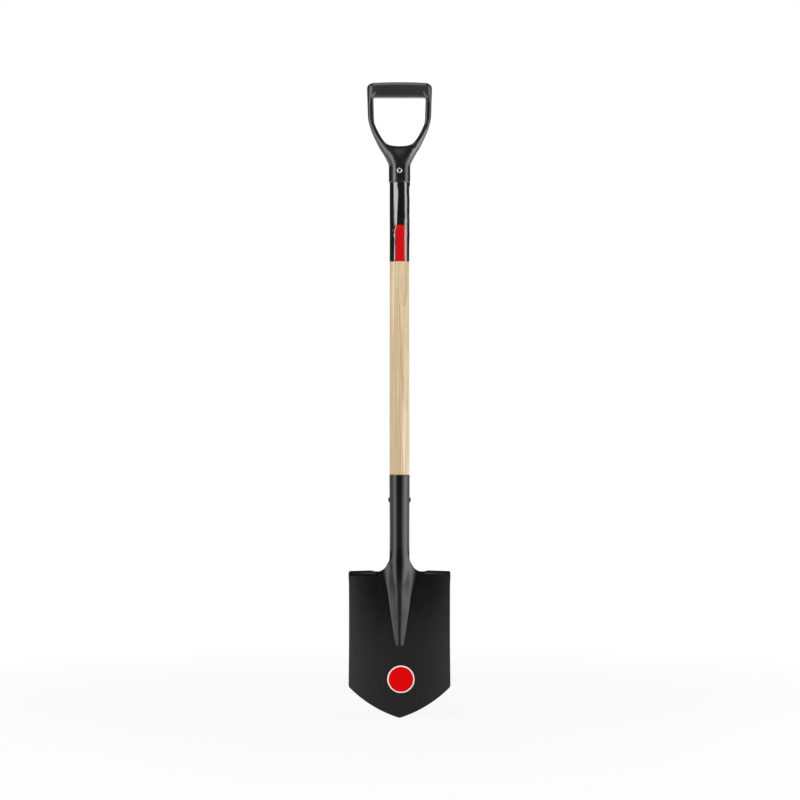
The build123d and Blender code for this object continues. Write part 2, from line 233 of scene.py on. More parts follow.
class Graph:
    """A node tree that is written as expressions."""

    def __init__(self, tree: bpy.types.NodeTree) -> None:
        """Start from an empty tree."""
        self.tree = tree
        tree.nodes.clear()

    def node(
        self,
        kind: str,
        settings: Optional[Mapping[str, object]] = None,
        inputs: Optional[Mapping[Union[str, int], Input]] = None,
    ) -> bpy.types.Node:
        """Add a node.

        Args:
            kind: The node's type.
            settings: Its own settings, which are set first.
            inputs: Values or links of its sockets, by name or place.

        Returns:
            The new node.
        """
        made = self.tree.nodes.new(kind)
        for name, setting in (settings or {}).items():
            setattr(made, name, setting)
        for name, value in (inputs or {}).items():
            if isinstance(value, Value):
                self.tree.links.new(value.socket, made.inputs[name])
            else:
                made.inputs[name].default_value = value
        return made

    def out(self, node: bpy.types.Node, socket: Union[str, int] = 0) -> Value:
        """An output socket as a value."""
        return Value(self, node.outputs[socket])

    def math(self, operation: str, *terms: Number) -> Value:
        """A Math node of an operation on one to three terms."""
        node = self.node("ShaderNodeMath", {"operation": operation}, dict(enumerate(terms)))
        return self.out(node)

    def place(self) -> Value:
        """Object coordinates, in metres."""
        return self.out(self.node("ShaderNodeTexCoord"), "Object")

    def scaled(self, vector: Value, scale: Sequence[float]) -> Value:
        """A vector with each of its parts scaled."""
        node = self.node("ShaderNodeVectorMath", {"operation": "MULTIPLY"}, {0: vector, 1: scale})
        return self.out(node)

    def parts(self, vector: Value) -> tuple[Value, Value, Value]:
        """The three parts of a vector."""
        node = self.node("ShaderNodeSeparateXYZ", inputs={0: vector})
        return self.out(node, 0), self.out(node, 1), self.out(node, 2)

    def millimetres(self, place: Value) -> Value:
        """A place in millimetres, from metres."""
        return self.scaled(place, (1 / MM,) * 3)

    def noise(self, place: Value, grain: Grain) -> Value:
        """A noise pattern from 0 to 1, read at a place.

        Args:
            place: Where to read it.
            grain: The pattern.

        Returns:
            The noise's value.
        """
        if grain.stretch is not None:
            place = self.scaled(place, grain.stretch)
        inputs = {"Vector": place, "Scale": grain.scale}
        inputs |= {"Detail": grain.detail, "Roughness": grain.rough}
        return self.out(self.node("ShaderNodeTexNoise", inputs=inputs))

    def drift(self, value: Number, reaches: Sequence[float], *noises: Value) -> Value:
        """A value that drifts to both sides with noises from 0 to 1, each with its own reach.

        Args:
            value: The mean value.
            reaches: How far it drifts with each noise, from end to end.
            noises: The noises, in the same order.

        Returns:
            The drifting value.
        """
        for reach, wave in zip(reaches, noises):
            value = value + reach * (wave - 0.5)
        return value

    def step(self, value: Value, start: float, stop: float) -> Value:
        """Smooth step from 0 at one value to 1 at another.

        Args:
            value: What is read.
            start: Where the step is 0.
            stop: Where the step is 1.

        Returns:
            The step's value.
        """
        node = self.node(
            "ShaderNodeMapRange",
            {"interpolation_type": "SMOOTHSTEP"},
            {"Value": value, "From Min": start, "From Max": stop},
        )
        return self.out(node)

    def window(self, value: Value, soft: float) -> Value:
        """Smooth hump over a value from 0 to 1 that fades out towards both ends."""
        return self.step(value, 0.0, soft) * self.step(value, 1.0, 1.0 - soft)

    def mix(self, share: Value, first: Union[Value, Colour], second: Union[Value, Colour]) -> Value:
        """A colour between two colours.

        Args:
            share: Share of the second colour.
            first: Colour at a share of 0.
            second: Colour at a share of 1.

        Returns:
            The mixed colour.
        """
        ends = {}
        for index, colour in zip(MIX_COLOURS, (first, second)):
            ends[index] = colour if isinstance(colour, Value) else (*colour, 1.0)
        node = self.node("ShaderNodeMix", {"data_type": "RGBA"}, {0: share, **ends})
        return self.out(node, MIX_RESULT)

    def bump(self, height: Value, distance: float, strength: float) -> Value:
        """A bumped normal.

        Args:
            height: Height of the relief, from 0 to 1.
            distance: Metres from 0 to 1.
            strength: Share of the relief that shows.

        Returns:
            The normal.
        """
        node = self.node(
            "ShaderNodeBump", inputs={"Height": height, "Distance": distance, "Strength": strength}
        )
        return self.out(node)

    def surface(self, inputs: Mapping[str, Input]) -> None:
        """End the tree in a Principled surface with these socket values or links."""
        shader = self.out(self.node("ShaderNodeBsdfPrincipled", inputs=inputs))
        self.node("ShaderNodeOutputMaterial", inputs={"Surface": shader})


# Finishes


@dataclass(frozen=True)
class Finish:
    """A surface finish that makes one material."""

    name: str

    def material(self) -> bpy.types.Material:
        """The finish's material, made once.

        Returns:
            The material, the same one at each call.
        """
        known = bpy.data.materials.get(self.name)
        if known is not None:
            return known
        made = bpy.data.materials.new(self.name)
        made.use_nodes = True
        self.paint(Graph(made.node_tree))
        return made

    def paint(self, graph: Graph) -> None:
        """Write the finish's nodes into an empty graph."""
        raise NotImplementedError


@dataclass(frozen=True)
class PowderCoat(Finish):
    """Black powder coat with orange peel and faint handling marks, duller and painted paler towards the
    point as painted light.

    Attributes:
        dull_and_painted_light_heights: Heights above the tip where the dull, painted-paler stretch
            starts to fade and where it is gone.
        ridge_foot: Height and half-width of the ridge's lower end; the ridge keeps its gloss and is not
            painted paler.
        ridge_spread: How much wider the ridge's half gets for each unit of height.
        ridge_fade: Distances over which the dull, painted-paler stretch fades in beside the ridge and
            below it.
        wear_shares: Shares of the fine and of the broad smudges in the wear.
        wear_range: Where the wear starts and where it is full.
        drift: How far the roughness drifts with the broad and with the fine smudges.
        relief: Depth of the orange peel, in metres, and the share of it that shows.
    """

    name: str = "black_powder_coat"
    deep: Colour = (0.0024, 0.0024, 0.0026)
    # Pale tone of the real wear, and of the painted light on the dull stretch.
    worn_and_painted_light_tone: Colour = (0.0075, 0.0075, 0.0078)
    dust: Colour = (0.060, 0.058, 0.054)
    broad: Grain = Grain(14.0, 3.0, 0.55)
    smudge: Grain = Grain(60.0, 4.0, 0.6, (1.0, 1.0, 0.35))
    peel: Grain = Grain(620.0, 1.0)
    speck: Grain = Grain(260.0, 0.0)
    speck_range: Pair = (0.87, 0.89)
    speck_strength: float = 0.7
    roughness: float = 0.25
    dull_roughness: float = 0.40
    dull_and_painted_light_heights: Pair = (95.0, 265.0)
    ridge_foot: Pair = (130.0, 7.8)
    ridge_spread: float = 0.172
    ridge_fade: Pair = (2.0, 4.0)
    wear_shares: Pair = (0.6, 0.4)
    wear_range: Pair = (0.35, 0.7)
    wear_strength: float = 0.5
    drift: Pair = (0.06, 0.05)
    specular: float = 0.5
    relief: Pair = (0.00003, 0.2)

    def paint(self, graph: Graph) -> None:
        """Write the powder coat's nodes.

        Args:
            graph: The material's empty node graph.
        """
        place = graph.place()
        broad = graph.noise(place, self.broad)
        smudge = graph.noise(place, self.smudge)
        peel = graph.noise(place, self.peel)
        speck = graph.step(graph.noise(place, self.speck), *self.speck_range)
        x, _, z = graph.parts(graph.millimetres(place))
        height = z + HANG_HEIGHT
        foot, half = self.ridge_foot
        sideways, down = self.ridge_fade
        ridge = half + (height - foot) * self.ridge_spread
        beside = graph.step(graph.math("ABSOLUTE", x) - ridge, -sideways, sideways)
        below = graph.step(height, foot, foot - down)
        # The dull stretch is made rougher and also painted paler: painted light on the flats beside the
        # ridge, growing towards the point.
        dull = graph.math("MAXIMUM", beside, below) * (1 - graph.step(height, *self.dull_and_painted_light_heights))
        gloss = self.roughness + (self.dull_roughness - self.roughness) * dull
        fine, coarse = self.wear_shares
        # The wear share carries the real wear from the smudges and the painted light of the dull
        # stretch.
        wear = graph.step(smudge * fine + broad * coarse, *self.wear_range) * self.wear_strength + dull
        tone = graph.mix(wear.clamp(), self.deep, self.worn_and_painted_light_tone)
        graph.surface(
            {
                "Base Color": graph.mix(speck * self.speck_strength, tone, self.dust),
                "Roughness": graph.drift(gloss, self.drift, broad, smudge),
                "Specular IOR Level": self.specular,
                "Normal": graph.bump(peel, *self.relief),
            }
        )


@dataclass(frozen=True)
class MouldedPlastic(Finish):
    """Black moulded plastic with a fine spark-eroded texture, matt round the hand bar.

    Attributes:
        bar_heights: Heights above the tip where the matt stretch starts and where it is full.
        rubbed_shares: How rubbed the bar is everywhere, and how much more with the flow marks.
        drift: How far the roughness drifts with the rubbing and with the flow marks.
        relief: Depth of the texture, in metres, and the share of it that shows.
    """

    name: str = "black_moulded_plastic"
    deep: Colour = (0.0075, 0.0075, 0.0078)
    pale: Colour = (0.0150, 0.0150, 0.0153)
    rubbed: Colour = (0.0270, 0.0270, 0.0272)
    flow: Grain = Grain(45.0, 3.0, 0.55, (1.0, 1.0, 0.4))
    flow_range: Pair = (0.3, 0.75)
    grain: Grain = Grain(1500.0, 1.0)
    rub: Grain = Grain(18.0)
    rubbed_shares: Pair = (0.6, 0.4)
    roughness: float = 0.25
    bar_roughness: float = 0.34
    bar_heights: Pair = (1142.0, 1154.0)
    drift: Pair = (0.08, 0.05)
    specular: float = 0.9
    relief: Pair = (0.00001, 1.0)

    def paint(self, graph: Graph) -> None:
        """Write the plastic's nodes.

        Args:
            graph: The material's empty node graph.
        """
        place = graph.place()
        flow = graph.noise(place, self.flow)
        grain = graph.noise(place, self.grain)
        rub = graph.noise(place, self.rub)
        low, high = ((height - HANG_HEIGHT) * MM for height in self.bar_heights)
        bar = graph.step(graph.parts(place)[2], low, high)
        tone = graph.mix(graph.step(flow, *self.flow_range), self.deep, self.pale)
        gloss = self.roughness + (self.bar_roughness - self.roughness) * bar
        even, marked = self.rubbed_shares
        graph.surface(
            {
                "Base Color": graph.mix(bar * (even + marked * flow), tone, self.rubbed),
                "Roughness": graph.drift(gloss, self.drift, rub, flow),
                "Specular IOR Level": self.specular,
                "Normal": graph.bump(grain, *self.relief),
            }
        )


@dataclass(frozen=True)
class AshWood(Finish):
    """Sanded ash under a thin clear coat: rings round a distant pith, pores and fibres.

    Attributes:
        pith: Place of the tree's middle beside the shaft, in millimetres.
        ring: Mean growth of a year, in millimetres.
        run: Sideways run of the rings for each unit along the shaft.
        wander: How far the rings wander with the sway and with the fibres, in millimetres.
        ring_fade: Power with which a year's dark band fades out, and the share in which it starts.
        band_shares: Strengths of the bands and of the fibres in the dark tone.
        pore_shares: How many pores show everywhere, and how many more in a dark band.
        drift: How far the roughness drifts with the fibres.
        pore_roughness: Added roughness of the pores.
        coat: Weight and roughness of the clear coat.
        relief_share: Share of the relief that the fibres raise and the pores lower.
        relief: Depth of that relief, in metres, and the share of it that shows.
    """

    name: str = "clear_coated_ash"
    pith: Pair = (-30.0, 44.0)
    ring: float = 2.9
    run: float = 0.013
    late: Colour = (0.70, 0.535, 0.322)
    early: Colour = (0.47, 0.315, 0.150)
    pale: Colour = (0.93, 0.765, 0.51)
    pore: Colour = (0.33, 0.210, 0.095)
    sway: Grain = Grain(1.0, 2.0, 0.5, (0.03, 0.03, 0.006))
    fibre: Grain = Grain(1.0, 3.0, 0.6, (1.5, 1.5, 0.022))
    streak: Grain = Grain(1.0, 3.0, 0.55, (0.34, 0.34, 0.0045))
    dash: Grain = Grain(1.0, 1.0, 0.5, (2.6, 2.6, 0.13))
    wander: Pair = (7.0, 0.5)
    ring_fade: Pair = (2.2, 0.06)
    band_shares: Pair = (0.75, 0.7)
    streak_range: Pair = (0.46, 0.68)
    streak_strength: float = 0.95
    pore_range: Pair = (0.56, 0.68)
    pore_shares: Pair = (0.25, 0.75)
    pore_strength: float = 0.55
    roughness: float = 0.50
    drift: tuple[float] = (0.12,)
    pore_roughness: float = 0.08
    specular: float = 0.35
    coat: Pair = (0.12, 0.35)
    relief_share: float = 0.6
    relief: Pair = (0.00010, 0.5)

    def paint(self, graph: Graph) -> None:
        """Write the wood's nodes.

        Args:
            graph: The material's empty node graph.
        """
        place = graph.millimetres(graph.place())
        x, y, z = graph.parts(place)
        sway = graph.noise(place, self.sway)
        fibre = graph.noise(place, self.fibre)
        streak = graph.noise(place, self.streak)
        dash = graph.noise(place, self.dash)
        east = x - self.pith[0]
        north = y - self.pith[1]
        broad, fine = self.wander
        radius = (east * east + north * north) ** 0.5 + z * self.run + sway * broad + fibre * fine
        year = graph.math("FRACT", radius / self.ring)
        power, start = self.ring_fade
        band = (1.0 - year) ** power * graph.step(year, 0.0, start)
        even, banded = self.pore_shares
        pores = graph.step(dash, *self.pore_range) * (even + band * banded)
        banding, fibrous = self.band_shares
        dark = (band * banding + (fibre - 0.5) * fibrous).clamp()
        wood = graph.mix(dark, self.late, self.early)
        pale = graph.step(streak, *self.streak_range) * self.streak_strength
        wood = graph.mix(pale, wood, self.pale)
        wood = graph.mix(pores * self.pore_strength, wood, self.pore)
        weight, roughness = self.coat
        height = fibre * self.relief_share - pores * self.relief_share
        gloss = graph.drift(self.roughness, self.drift, fibre) + self.pore_roughness * pores
        graph.surface(
            {
                "Base Color": wood,
                "Roughness": gloss,
                "Specular IOR Level": self.specular,
                "Coat Weight": weight,
                "Coat Roughness": roughness,
                "Normal": graph.bump(height, *self.relief),
            }
        )


@dataclass(frozen=True)
class ShrinkFilm(Finish):
    """Glossy black film with one plain red panel printed on its front.

    Attributes:
        panel_sides: Where the panel starts and stops across the front, in millimetres.
        panel_top: Height of the panel's upper edge.
        panel_soft: Half the width of the print's soft edge, in millimetres.
        drift: How far the roughness drifts with the haze and with the crackle.
        coat: Weight and roughness of the clear top layer.
        relief: Depth of the crackle, in metres, and the share of it that shows.
    """

    name: str = "black_shrink_film"
    film: Colour = (0.0055, 0.0055, 0.0058)
    red: Colour = (0.78, 0.001, 0.001)
    panel_sides: Pair = (-6.5, 10.6)
    panel_top: float = 914.0
    panel_soft: float = 0.25
    crackle: Grain = Grain(240.0, 3.0, 0.6, (1.0, 1.0, 0.5))
    haze: Grain = Grain(70.0)
    roughness: float = 0.13
    drift: Pair = (0.10, 0.05)
    refraction: float = 1.7
    specular: float = 1.0
    coat: Pair = (0.6, 0.08)
    relief: Pair = (0.00005, 0.2)

    def paint(self, graph: Graph) -> None:
        """Write the film's nodes.

        Args:
            graph: The material's empty node graph.
        """
        place = graph.place()
        x, y, z = graph.parts(place)
        soft = self.panel_soft * MM
        left, right = (side * MM for side in self.panel_sides)
        top = (self.panel_top - HANG_HEIGHT) * MM
        panel = graph.step(x, left - soft, left + soft)
        panel = panel * (1 - graph.step(x, right - soft, right + soft))
        panel = panel * (1 - graph.step(z, top - soft, top + soft)) * graph.step(y, soft, -soft)
        crackle = graph.noise(place, self.crackle)
        haze = graph.noise(place, self.haze)
        weight, roughness = self.coat
        graph.surface(
            {
                "Base Color": graph.mix(panel, self.film, self.red),
                "Roughness": graph.drift(self.roughness, self.drift, haze, crackle),
                "IOR": self.refraction,
                "Specular IOR Level": self.specular,
                "Coat Weight": weight,
                "Coat Roughness": roughness,
                "Normal": graph.bump(crackle, *self.relief),
            }
        )


@dataclass(frozen=True)
class ZincSteel(Finish):
    """Bright zinc plated steel, with painted shade inside the cross recess of the screw.

    Attributes:
        height: Height of the screw's axis above the tip.
        arm: Half-length and half-width of the recess's arms.
        arm_soft: Half the width of the recess's soft edge.
        drift: How far the roughness drifts with the clouds and with the brush marks.
        relief: Depth of the brush marks, in metres, and the share of it that shows.
    """

    name: str = "bright_zinc_steel"
    bright: Colour = (0.95, 0.95, 0.95)
    dull: Colour = (0.76, 0.77, 0.79)
    # Painted shade for the cross recess.
    painted_recess_shade: Colour = (0.02, 0.02, 0.02)
    height: float = 1015.5
    arm: Pair = (2.7, 0.95)
    arm_soft: float = 0.2
    cloud: Grain = Grain(420.0, 3.0, 0.6)
    cloud_range: Pair = (0.35, 0.7)
    brush: Grain = Grain(900.0, 2.0, 0.5, (1.0, 1.0, 6.0))
    roughness: float = 0.36
    drift: Pair = (0.16, 0.10)
    relief: Pair = (0.00003, 0.3)

    def recess(self, graph: Graph, place: Value) -> Value:
        """Mask of the painted shade: 1 inside the cross recess and 0 beside it.

        Args:
            graph: The material's node graph.
            place: Object coordinates, in metres.

        Returns:
            The mask of the painted shade in the recess.
        """
        x, _, z = graph.parts(graph.millimetres(place))
        across = graph.math("ABSOLUTE", x)
        above = graph.math("ABSOLUTE", z + HANG_HEIGHT - self.height)
        longer = graph.math("MAXIMUM", across, above)
        shorter = graph.math("MINIMUM", across, above)
        length, width = self.arm
        ends = graph.step(longer, length + self.arm_soft, length - self.arm_soft)
        sides = graph.step(shorter, width + self.arm_soft, width - self.arm_soft)
        return ends * sides

    def paint(self, graph: Graph) -> None:
        """Write the plated steel's nodes.

        Args:
            graph: The material's empty node graph.
        """
        place = graph.place()
        cloud = graph.noise(place, self.cloud)
        brush = graph.noise(place, self.brush)
        plate = graph.mix(graph.step(cloud, *self.cloud_range), self.bright, self.dull)
        graph.surface(
            {
                # Painted shade darkens the cross recess.
                "Base Color": graph.mix(self.recess(graph, place), plate, self.painted_recess_shade),
                "Metallic": 1.0,
                "Roughness": graph.drift(self.roughness, self.drift, cloud, brush),
                "Normal": graph.bump(brush, *self.relief),
            }
        )


@dataclass(frozen=True)
class PrintedLabel(Finish):
    """Plain red print with a white rim on a round film label.

    Attributes:
        middle: Middle of the label in the frame, in metres.
        radius: The label's radius, in millimetres.
        rim: Width of the white rim, in millimetres.
        rim_soft: Half the width of the rim's soft edge, in millimetres.
        drift: How far the roughness drifts with the scuffs.
        relief: Depth of the ink, in metres, and the share of it that shows.
    """

    name: str = "printed_label_film"
    middle: tuple[float, float, float] = (0.0, 0.0, 0.0)
    radius: float = 26.0
    rim: float = 2.4
    rim_soft: float = 0.15
    red: Colour = (0.83, 0.001, 0.001)
    dark_red: Colour = (0.60, 0.004, 0.004)
    white: Colour = (0.97, 0.96, 0.945)
    ink: Grain = Grain(320.0, 3.0)
    ink_range: Pair = (0.3, 0.8)
    ink_strength: float = 0.12
    scuff: Grain = Grain(90.0, 3.0)
    roughness: float = 0.30
    drift: tuple[float] = (0.12,)
    specular: float = 0.1
    relief: Pair = (0.00002, 0.3)

    def paint(self, graph: Graph) -> None:
        """Write the label's nodes.

        Args:
            graph: The material's empty node graph.
        """
        place = graph.place()
        offset = graph.node(
            "ShaderNodeVectorMath", {"operation": "DISTANCE"}, {0: place, 1: self.middle}
        )
        reach = graph.out(offset, "Value") / MM
        edge = self.radius - self.rim
        rim = graph.step(reach, edge - self.rim_soft, edge + self.rim_soft)
        ink = graph.noise(place, self.ink)
        scuff = graph.noise(place, self.scuff)
        dark = graph.step(ink, *self.ink_range) * self.ink_strength
        print_tone = graph.mix(dark, self.red, self.dark_red)
        graph.surface(
            {
                "Base Color": graph.mix(rim, print_tone, self.white),
                "Roughness": graph.drift(self.roughness, self.drift, scuff),
                "Specular IOR Level": self.specular,
                "Normal": graph.bump(ink, *self.relief),
            }
        )


# Pieces


@dataclass
class SubAssembly:
    """Pieces that are made and dressed together."""

    pieces: list[bpy.types.Object] = field(default_factory=list)

    def publish(
        self, shape: bmesh.types.BMesh, name: str, finish: Finish, node: str, shading: Shading
    ) -> bpy.types.Object:
        """Turn a shape into a named piece that stands for a CAD node.

        Args:
            shape: The finished shape, in metres; it is freed.
            name: The piece's name.
            finish: Its surface.
            node: The CAD node that it replaces, which is hidden.
            shading: Smooth all over, or with creases.

        Returns:
            The new object.
        """
        mesh = bpy.data.meshes.new(name)
        for face in shape.faces:
            face.smooth = True
        shape.to_mesh(mesh)
        shape.free()
        if shading is Shading.CREASED:
            mesh.set_sharp_from_angle(angle=math.radians(shading.value))
        mesh.materials.append(finish.material())
        piece = bpy.data.objects.new(name, mesh)
        bpy.context.scene.collection.objects.link(piece)
        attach(piece, BODY)
        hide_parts(node)
        self.pieces.append(piece)
        return piece

    @staticmethod
    def turned(
        profile: Profile, origin: Vector, axis: Vector, out: Vector, steps: int
    ) -> bmesh.types.BMesh:
        """Turn a profile round an axis.

        Args:
            profile: Pairs of distance from the axis and distance along it, in millimetres.
            origin: Where the profile starts along the axis, in metres.
            axis: Direction of the axis.
            out: Direction square to the axis in which the profile is drawn.
            steps: Facets round the axis.

        Returns:
            The closed shape, in metres.
        """
        shape = bmesh.new()
        chain = [shape.verts.new(origin + (out * r + axis * h) * MM) for r, h in profile]
        edges = [shape.edges.new(pair) for pair in zip(chain, chain[1:])]
        line = chain + edges
        bmesh.ops.spin(
            shape, geom=line, cent=origin, axis=axis, angle=math.tau, steps=steps, use_merge=True
        )
        bmesh.ops.remove_doubles(shape, verts=shape.verts[:], dist=MERGE_TURNED * MM)
        bmesh.ops.recalc_face_normals(shape, faces=shape.faces[:])
        return shape

    @staticmethod
    def copied(node: str) -> bmesh.types.BMesh:
        """A merged copy of a CAD node's shape.

        Args:
            node: The CAD node's name.

        Returns:
            The copy, in metres.
        """
        shape = bmesh.new()
        shape.from_mesh(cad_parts[node].data)
        bmesh.ops.remove_doubles(shape, verts=shape.verts[:], dist=MERGE_COPIED * MM)
        return shape

    @staticmethod
    def tube_profile(steps: Profile, spacing: float) -> list[Pair]:
        """A profile with added points, so that no run along it is longer than a spacing.

        Args:
            steps: Corners of the profile.
            spacing: Longest run, in millimetres.

        Returns:
            The corners with the added points between them.
        """
        points = [steps[0]]
        for (r0, h0), (r1, h1) in zip(steps, steps[1:]):
            count = max(1, math.ceil(math.hypot(r1 - r0, h1 - h0) / spacing))
            for i in range(1, count + 1):
                points.append((r0 + (r1 - r0) * i / count, h0 + (h1 - h0) * i / count))
        return points


@dataclass
class Blade(SubAssembly):
    """Steel pressing with its point, dish, ridge, treads and rolled socket, its label and its rivet.

    Attributes:
        edge_angle: Degrees from which an edge of the sheet is rounded.
        side: The blade's half-width at each height.
        point_corner: Half-width and height where the point meets the blade's sides.
        point_bulge: Another place on the point's curved edge.
        tread_dip: Share of a tread's climb lost at its inner end, and width over which it comes back.
        tread_runout: Width over which a tread's fold runs out at its inner end.
        tread_least: Length of the flat that is left there.
        flat_delay: Share of the run-out in which the flat doesn't grow yet.
        least_turn: Smallest turn of the fold, in radians.
        shoulder_root: Width of the drawn-in end of a tread, in radii of its corner.
        hair: A distance too small to matter.
        roll_top: Height above which the socket is fully round; roll_bottom is where the roll starts.
        ridge_margin: Flat width kept beside the ridge.
        socket: The socket's outer radius at each height.
        neck_edge: Length of the sheet from the crest to its cut edge at each height.
        ridge: Crest height, base half-width, half-width of the flat crest, and the radii of the crest's
            edge and of the fillet at the base, at each height.
        row_runs: Upper ends of the runs of rows, each with its number of rows.
        foot: Height, length and width of the thin stretch round the ridge's lower end.
        grid_digits: Digits that tell the rows and columns of the grid apart.
    """

    coat: Finish = PowderCoat()
    sheet: float = 2.0
    edge_round: float = 0.4
    edge_angle: float = 55.0
    edge_segments: int = 3
    lift: float = 5.0
    lift_bend_top: float = 330.0
    lift_bend_length: float = 40.0
    dish_radius: float = 320.0
    half_width: float = 94.3
    side: Curve = Curve(((62.0, 93.8), (112.0, 93.4), (144.0, 93.2), (237.0, 93.5), (271.0, 94.3)))
    point_corner: Pair = (93.8, 57.7)
    point_bulge: Pair = (48.5, 21.4)
    point_apex: float = -0.27
    point_top: float = 112.0
    corner_radius: float = 7.0
    tip_radius: float = 6.0
    shoulder: float = 271.0
    shoulder_blend: float = 250.0
    tread_inner: float = 44.0
    tread_height: float = 272.6
    tread_rise: float = 2.0
    tread_bend: float = 10.0
    tread_dip: Pair = (0.245, 10.0)
    tread_runout: float = 9.0
    tread_least: float = 1.2
    flat_delay: float = 0.5
    least_turn: float = 0.01
    tread_depth: float = 16.0
    tread_corner: float = 4.0
    tread_shoulder: float = 3.0
    shoulder_root: float = 4.0
    hair: float = 0.01
    seam_half_angle: float = 177.0
    roll_top: float = 312.0
    roll_bottom: float = 279.0
    ridge_margin: float = 10.0
    socket: Curve = Curve(
        ((450.0, 19.05), (420.0, 19.0), (385.0, 18.7), (350.0, 18.55), (319.0, 18.65))
    )
    neck_edge: Curve = Curve(
        ((346.0, 58.0), (336.0, 55.0), (328.0, 49.0), (320.0, 40.0), (312.0, 31.0), (304.0, 24.3))
        + ((297.0, 22.8), (292.0, 23.2), (288.0, 25.4), (284.0, 28.2), (280.0, 30.6), (276.0, 34.1))
        + ((273.0, 38.5), (270.5, 44.1), (264.0, 43.9), (254.0, 43.5), (240.0, 43.5))
    )
    ridge: Curve = Curve(
        ((300.0, 18.5, 43.0, 0.6, 18.0, 32.0), (284.0, 18.4, 40.5, 0.6, 18.0, 33.5))
        + ((270.0, 18.1, 37.2, 0.6, 17.0, 27.5), (255.0, 17.4, 32.2, 0.6, 15.0, 19.5))
        + ((234.0, 15.0, 26.2, 0.8, 11.0, 12.5), (199.0, 10.75, 19.6, 1.3, 7.2, 6.5))
        + ((181.0, 8.45, 16.3, 1.45, 5.0, 4.6), (144.0, 4.5, 10.2, 1.6, 2.5, 2.5))
        + ((138.0, 4.0, 9.0, 1.6, 2.4, 2.4), (132.5, 3.5, 7.8, 1.6, 2.0, 2.0))
        + ((129.8, 0.3, 6.6, 1.6, 2.0, 2.0), (127.8, 0.0, 6.6, 1.6, 2.0, 2.0))
    )
    strip_columns: int = 40
    heading_steps: int = 12
    plate_columns: tuple[float, ...] = (
        (40.8, 44.0, 45.0, 46.0, 46.8, 47.6, 48.4, 49.2, 50.0, 50.8, 51.6, 52.4, 53.2, 54.0, 55.0)
        + (56.2, 57.5, 60.0, 67.0, 74.0, 80.0, 85.0, 88.3, 90.5, 92.1, 93.1, 93.75, 94.3)
    )
    row_runs: tuple[tuple[float, int], ...] = (
        (126.0, 4), (147.0, 21), (250.0, 30), (271.0, 10), (346.0, 50), (450.8, 30)
    )
    point_rows: int = 18
    bend_steps: int = 8
    flat_steps: int = 2
    grid_digits: int = 5
    foot: tuple[float, float, float] = (130.5, 6.0, 9.0)
    foot_thinning: float = 0.7
    rivet_height: float = 403.0
    rivet_radius: float = 3.0
    rivet_head: float = 5.2
    rivet_rise: float = 2.4
    rivet_bed: float = 1.4
    dome_steps: int = 10
    rivet_facets: int = 48
    label_middle: Pair = (2.6, 71.0)
    label_radius: float = 25.4
    label_film: float = 0.25
    label_rings: int = 10
    label_facets: int = 96

    def place(self, x: float, y: float, station: float) -> Vector:
        """Point of the frame from a place on the bent sheet.

        Args:
            x: Distance from the middle.
            y: Depth behind the centre line.
            station: Distance along the centre line from the tip.

        Returns:
            The point, in metres.
        """
        lift = math.radians(self.lift)
        radius = self.lift_bend_length / lift
        bottom = self.lift_bend_top - radius * math.sin(lift)
        straight = bottom / math.cos(lift)
        angle = lift * (1 - (station - straight) / self.lift_bend_length)
        angle = min(max(angle, 0.0), lift)
        above = max(0.0, station - straight - self.lift_bend_length)
        below = max(0.0, straight - station)
        back = -radius * (1 - math.cos(angle)) - below * math.sin(lift)
        height = self.lift_bend_top - radius * math.sin(angle) + above - below * math.cos(lift)
        return to_frame(x, back + y * math.cos(angle), height - y * math.sin(angle))

    def dish(self, x: float) -> float:
        """Depth of the dished front at a distance from the middle; its sides come forward."""
        return math.sqrt(self.dish_radius**2 - x**2) - self.dish_radius

    def point_outline(self, x: float) -> float:
        """Height of the point's lower edge at a distance from the middle.

        Args:
            x: Distance from the middle, to either side.

        Returns:
            The height above the tip.
        """
        x = abs(x)
        ax, az = 0.0, self.point_apex
        bx, bz = self.point_bulge
        cx, cz = self.point_corner
        d = 2 * (ax * (bz - cz) + bx * (cz - az) + cx * (az - bz))
        a2, b2, c2 = ax**2 + az**2, bx**2 + bz**2, cx**2 + cz**2
        mx = (a2 * (bz - cz) + b2 * (cz - az) + c2 * (az - bz)) / d
        mz = (a2 * (cx - bx) + b2 * (ax - cx) + c2 * (bx - ax)) / d
        radius = math.hypot(ax - mx, az - mz)
        tip = radius - self.tip_radius
        tip_z = mz - math.sqrt(tip**2 - mx**2)
        if x < mx - mx * radius / tip:
            return tip_z - math.sqrt(self.tip_radius**2 - x**2)
        corner = radius - self.corner_radius
        corner_x = cx - self.corner_radius
        corner_z = mz - math.sqrt(corner**2 - (corner_x - mx) ** 2)
        if x > mx + (corner_x - mx) * radius / corner:
            return corner_z - math.sqrt(max(0.0, self.corner_radius**2 - (x - corner_x) ** 2))
        return mz - math.sqrt(radius**2 - (x - mx) ** 2)

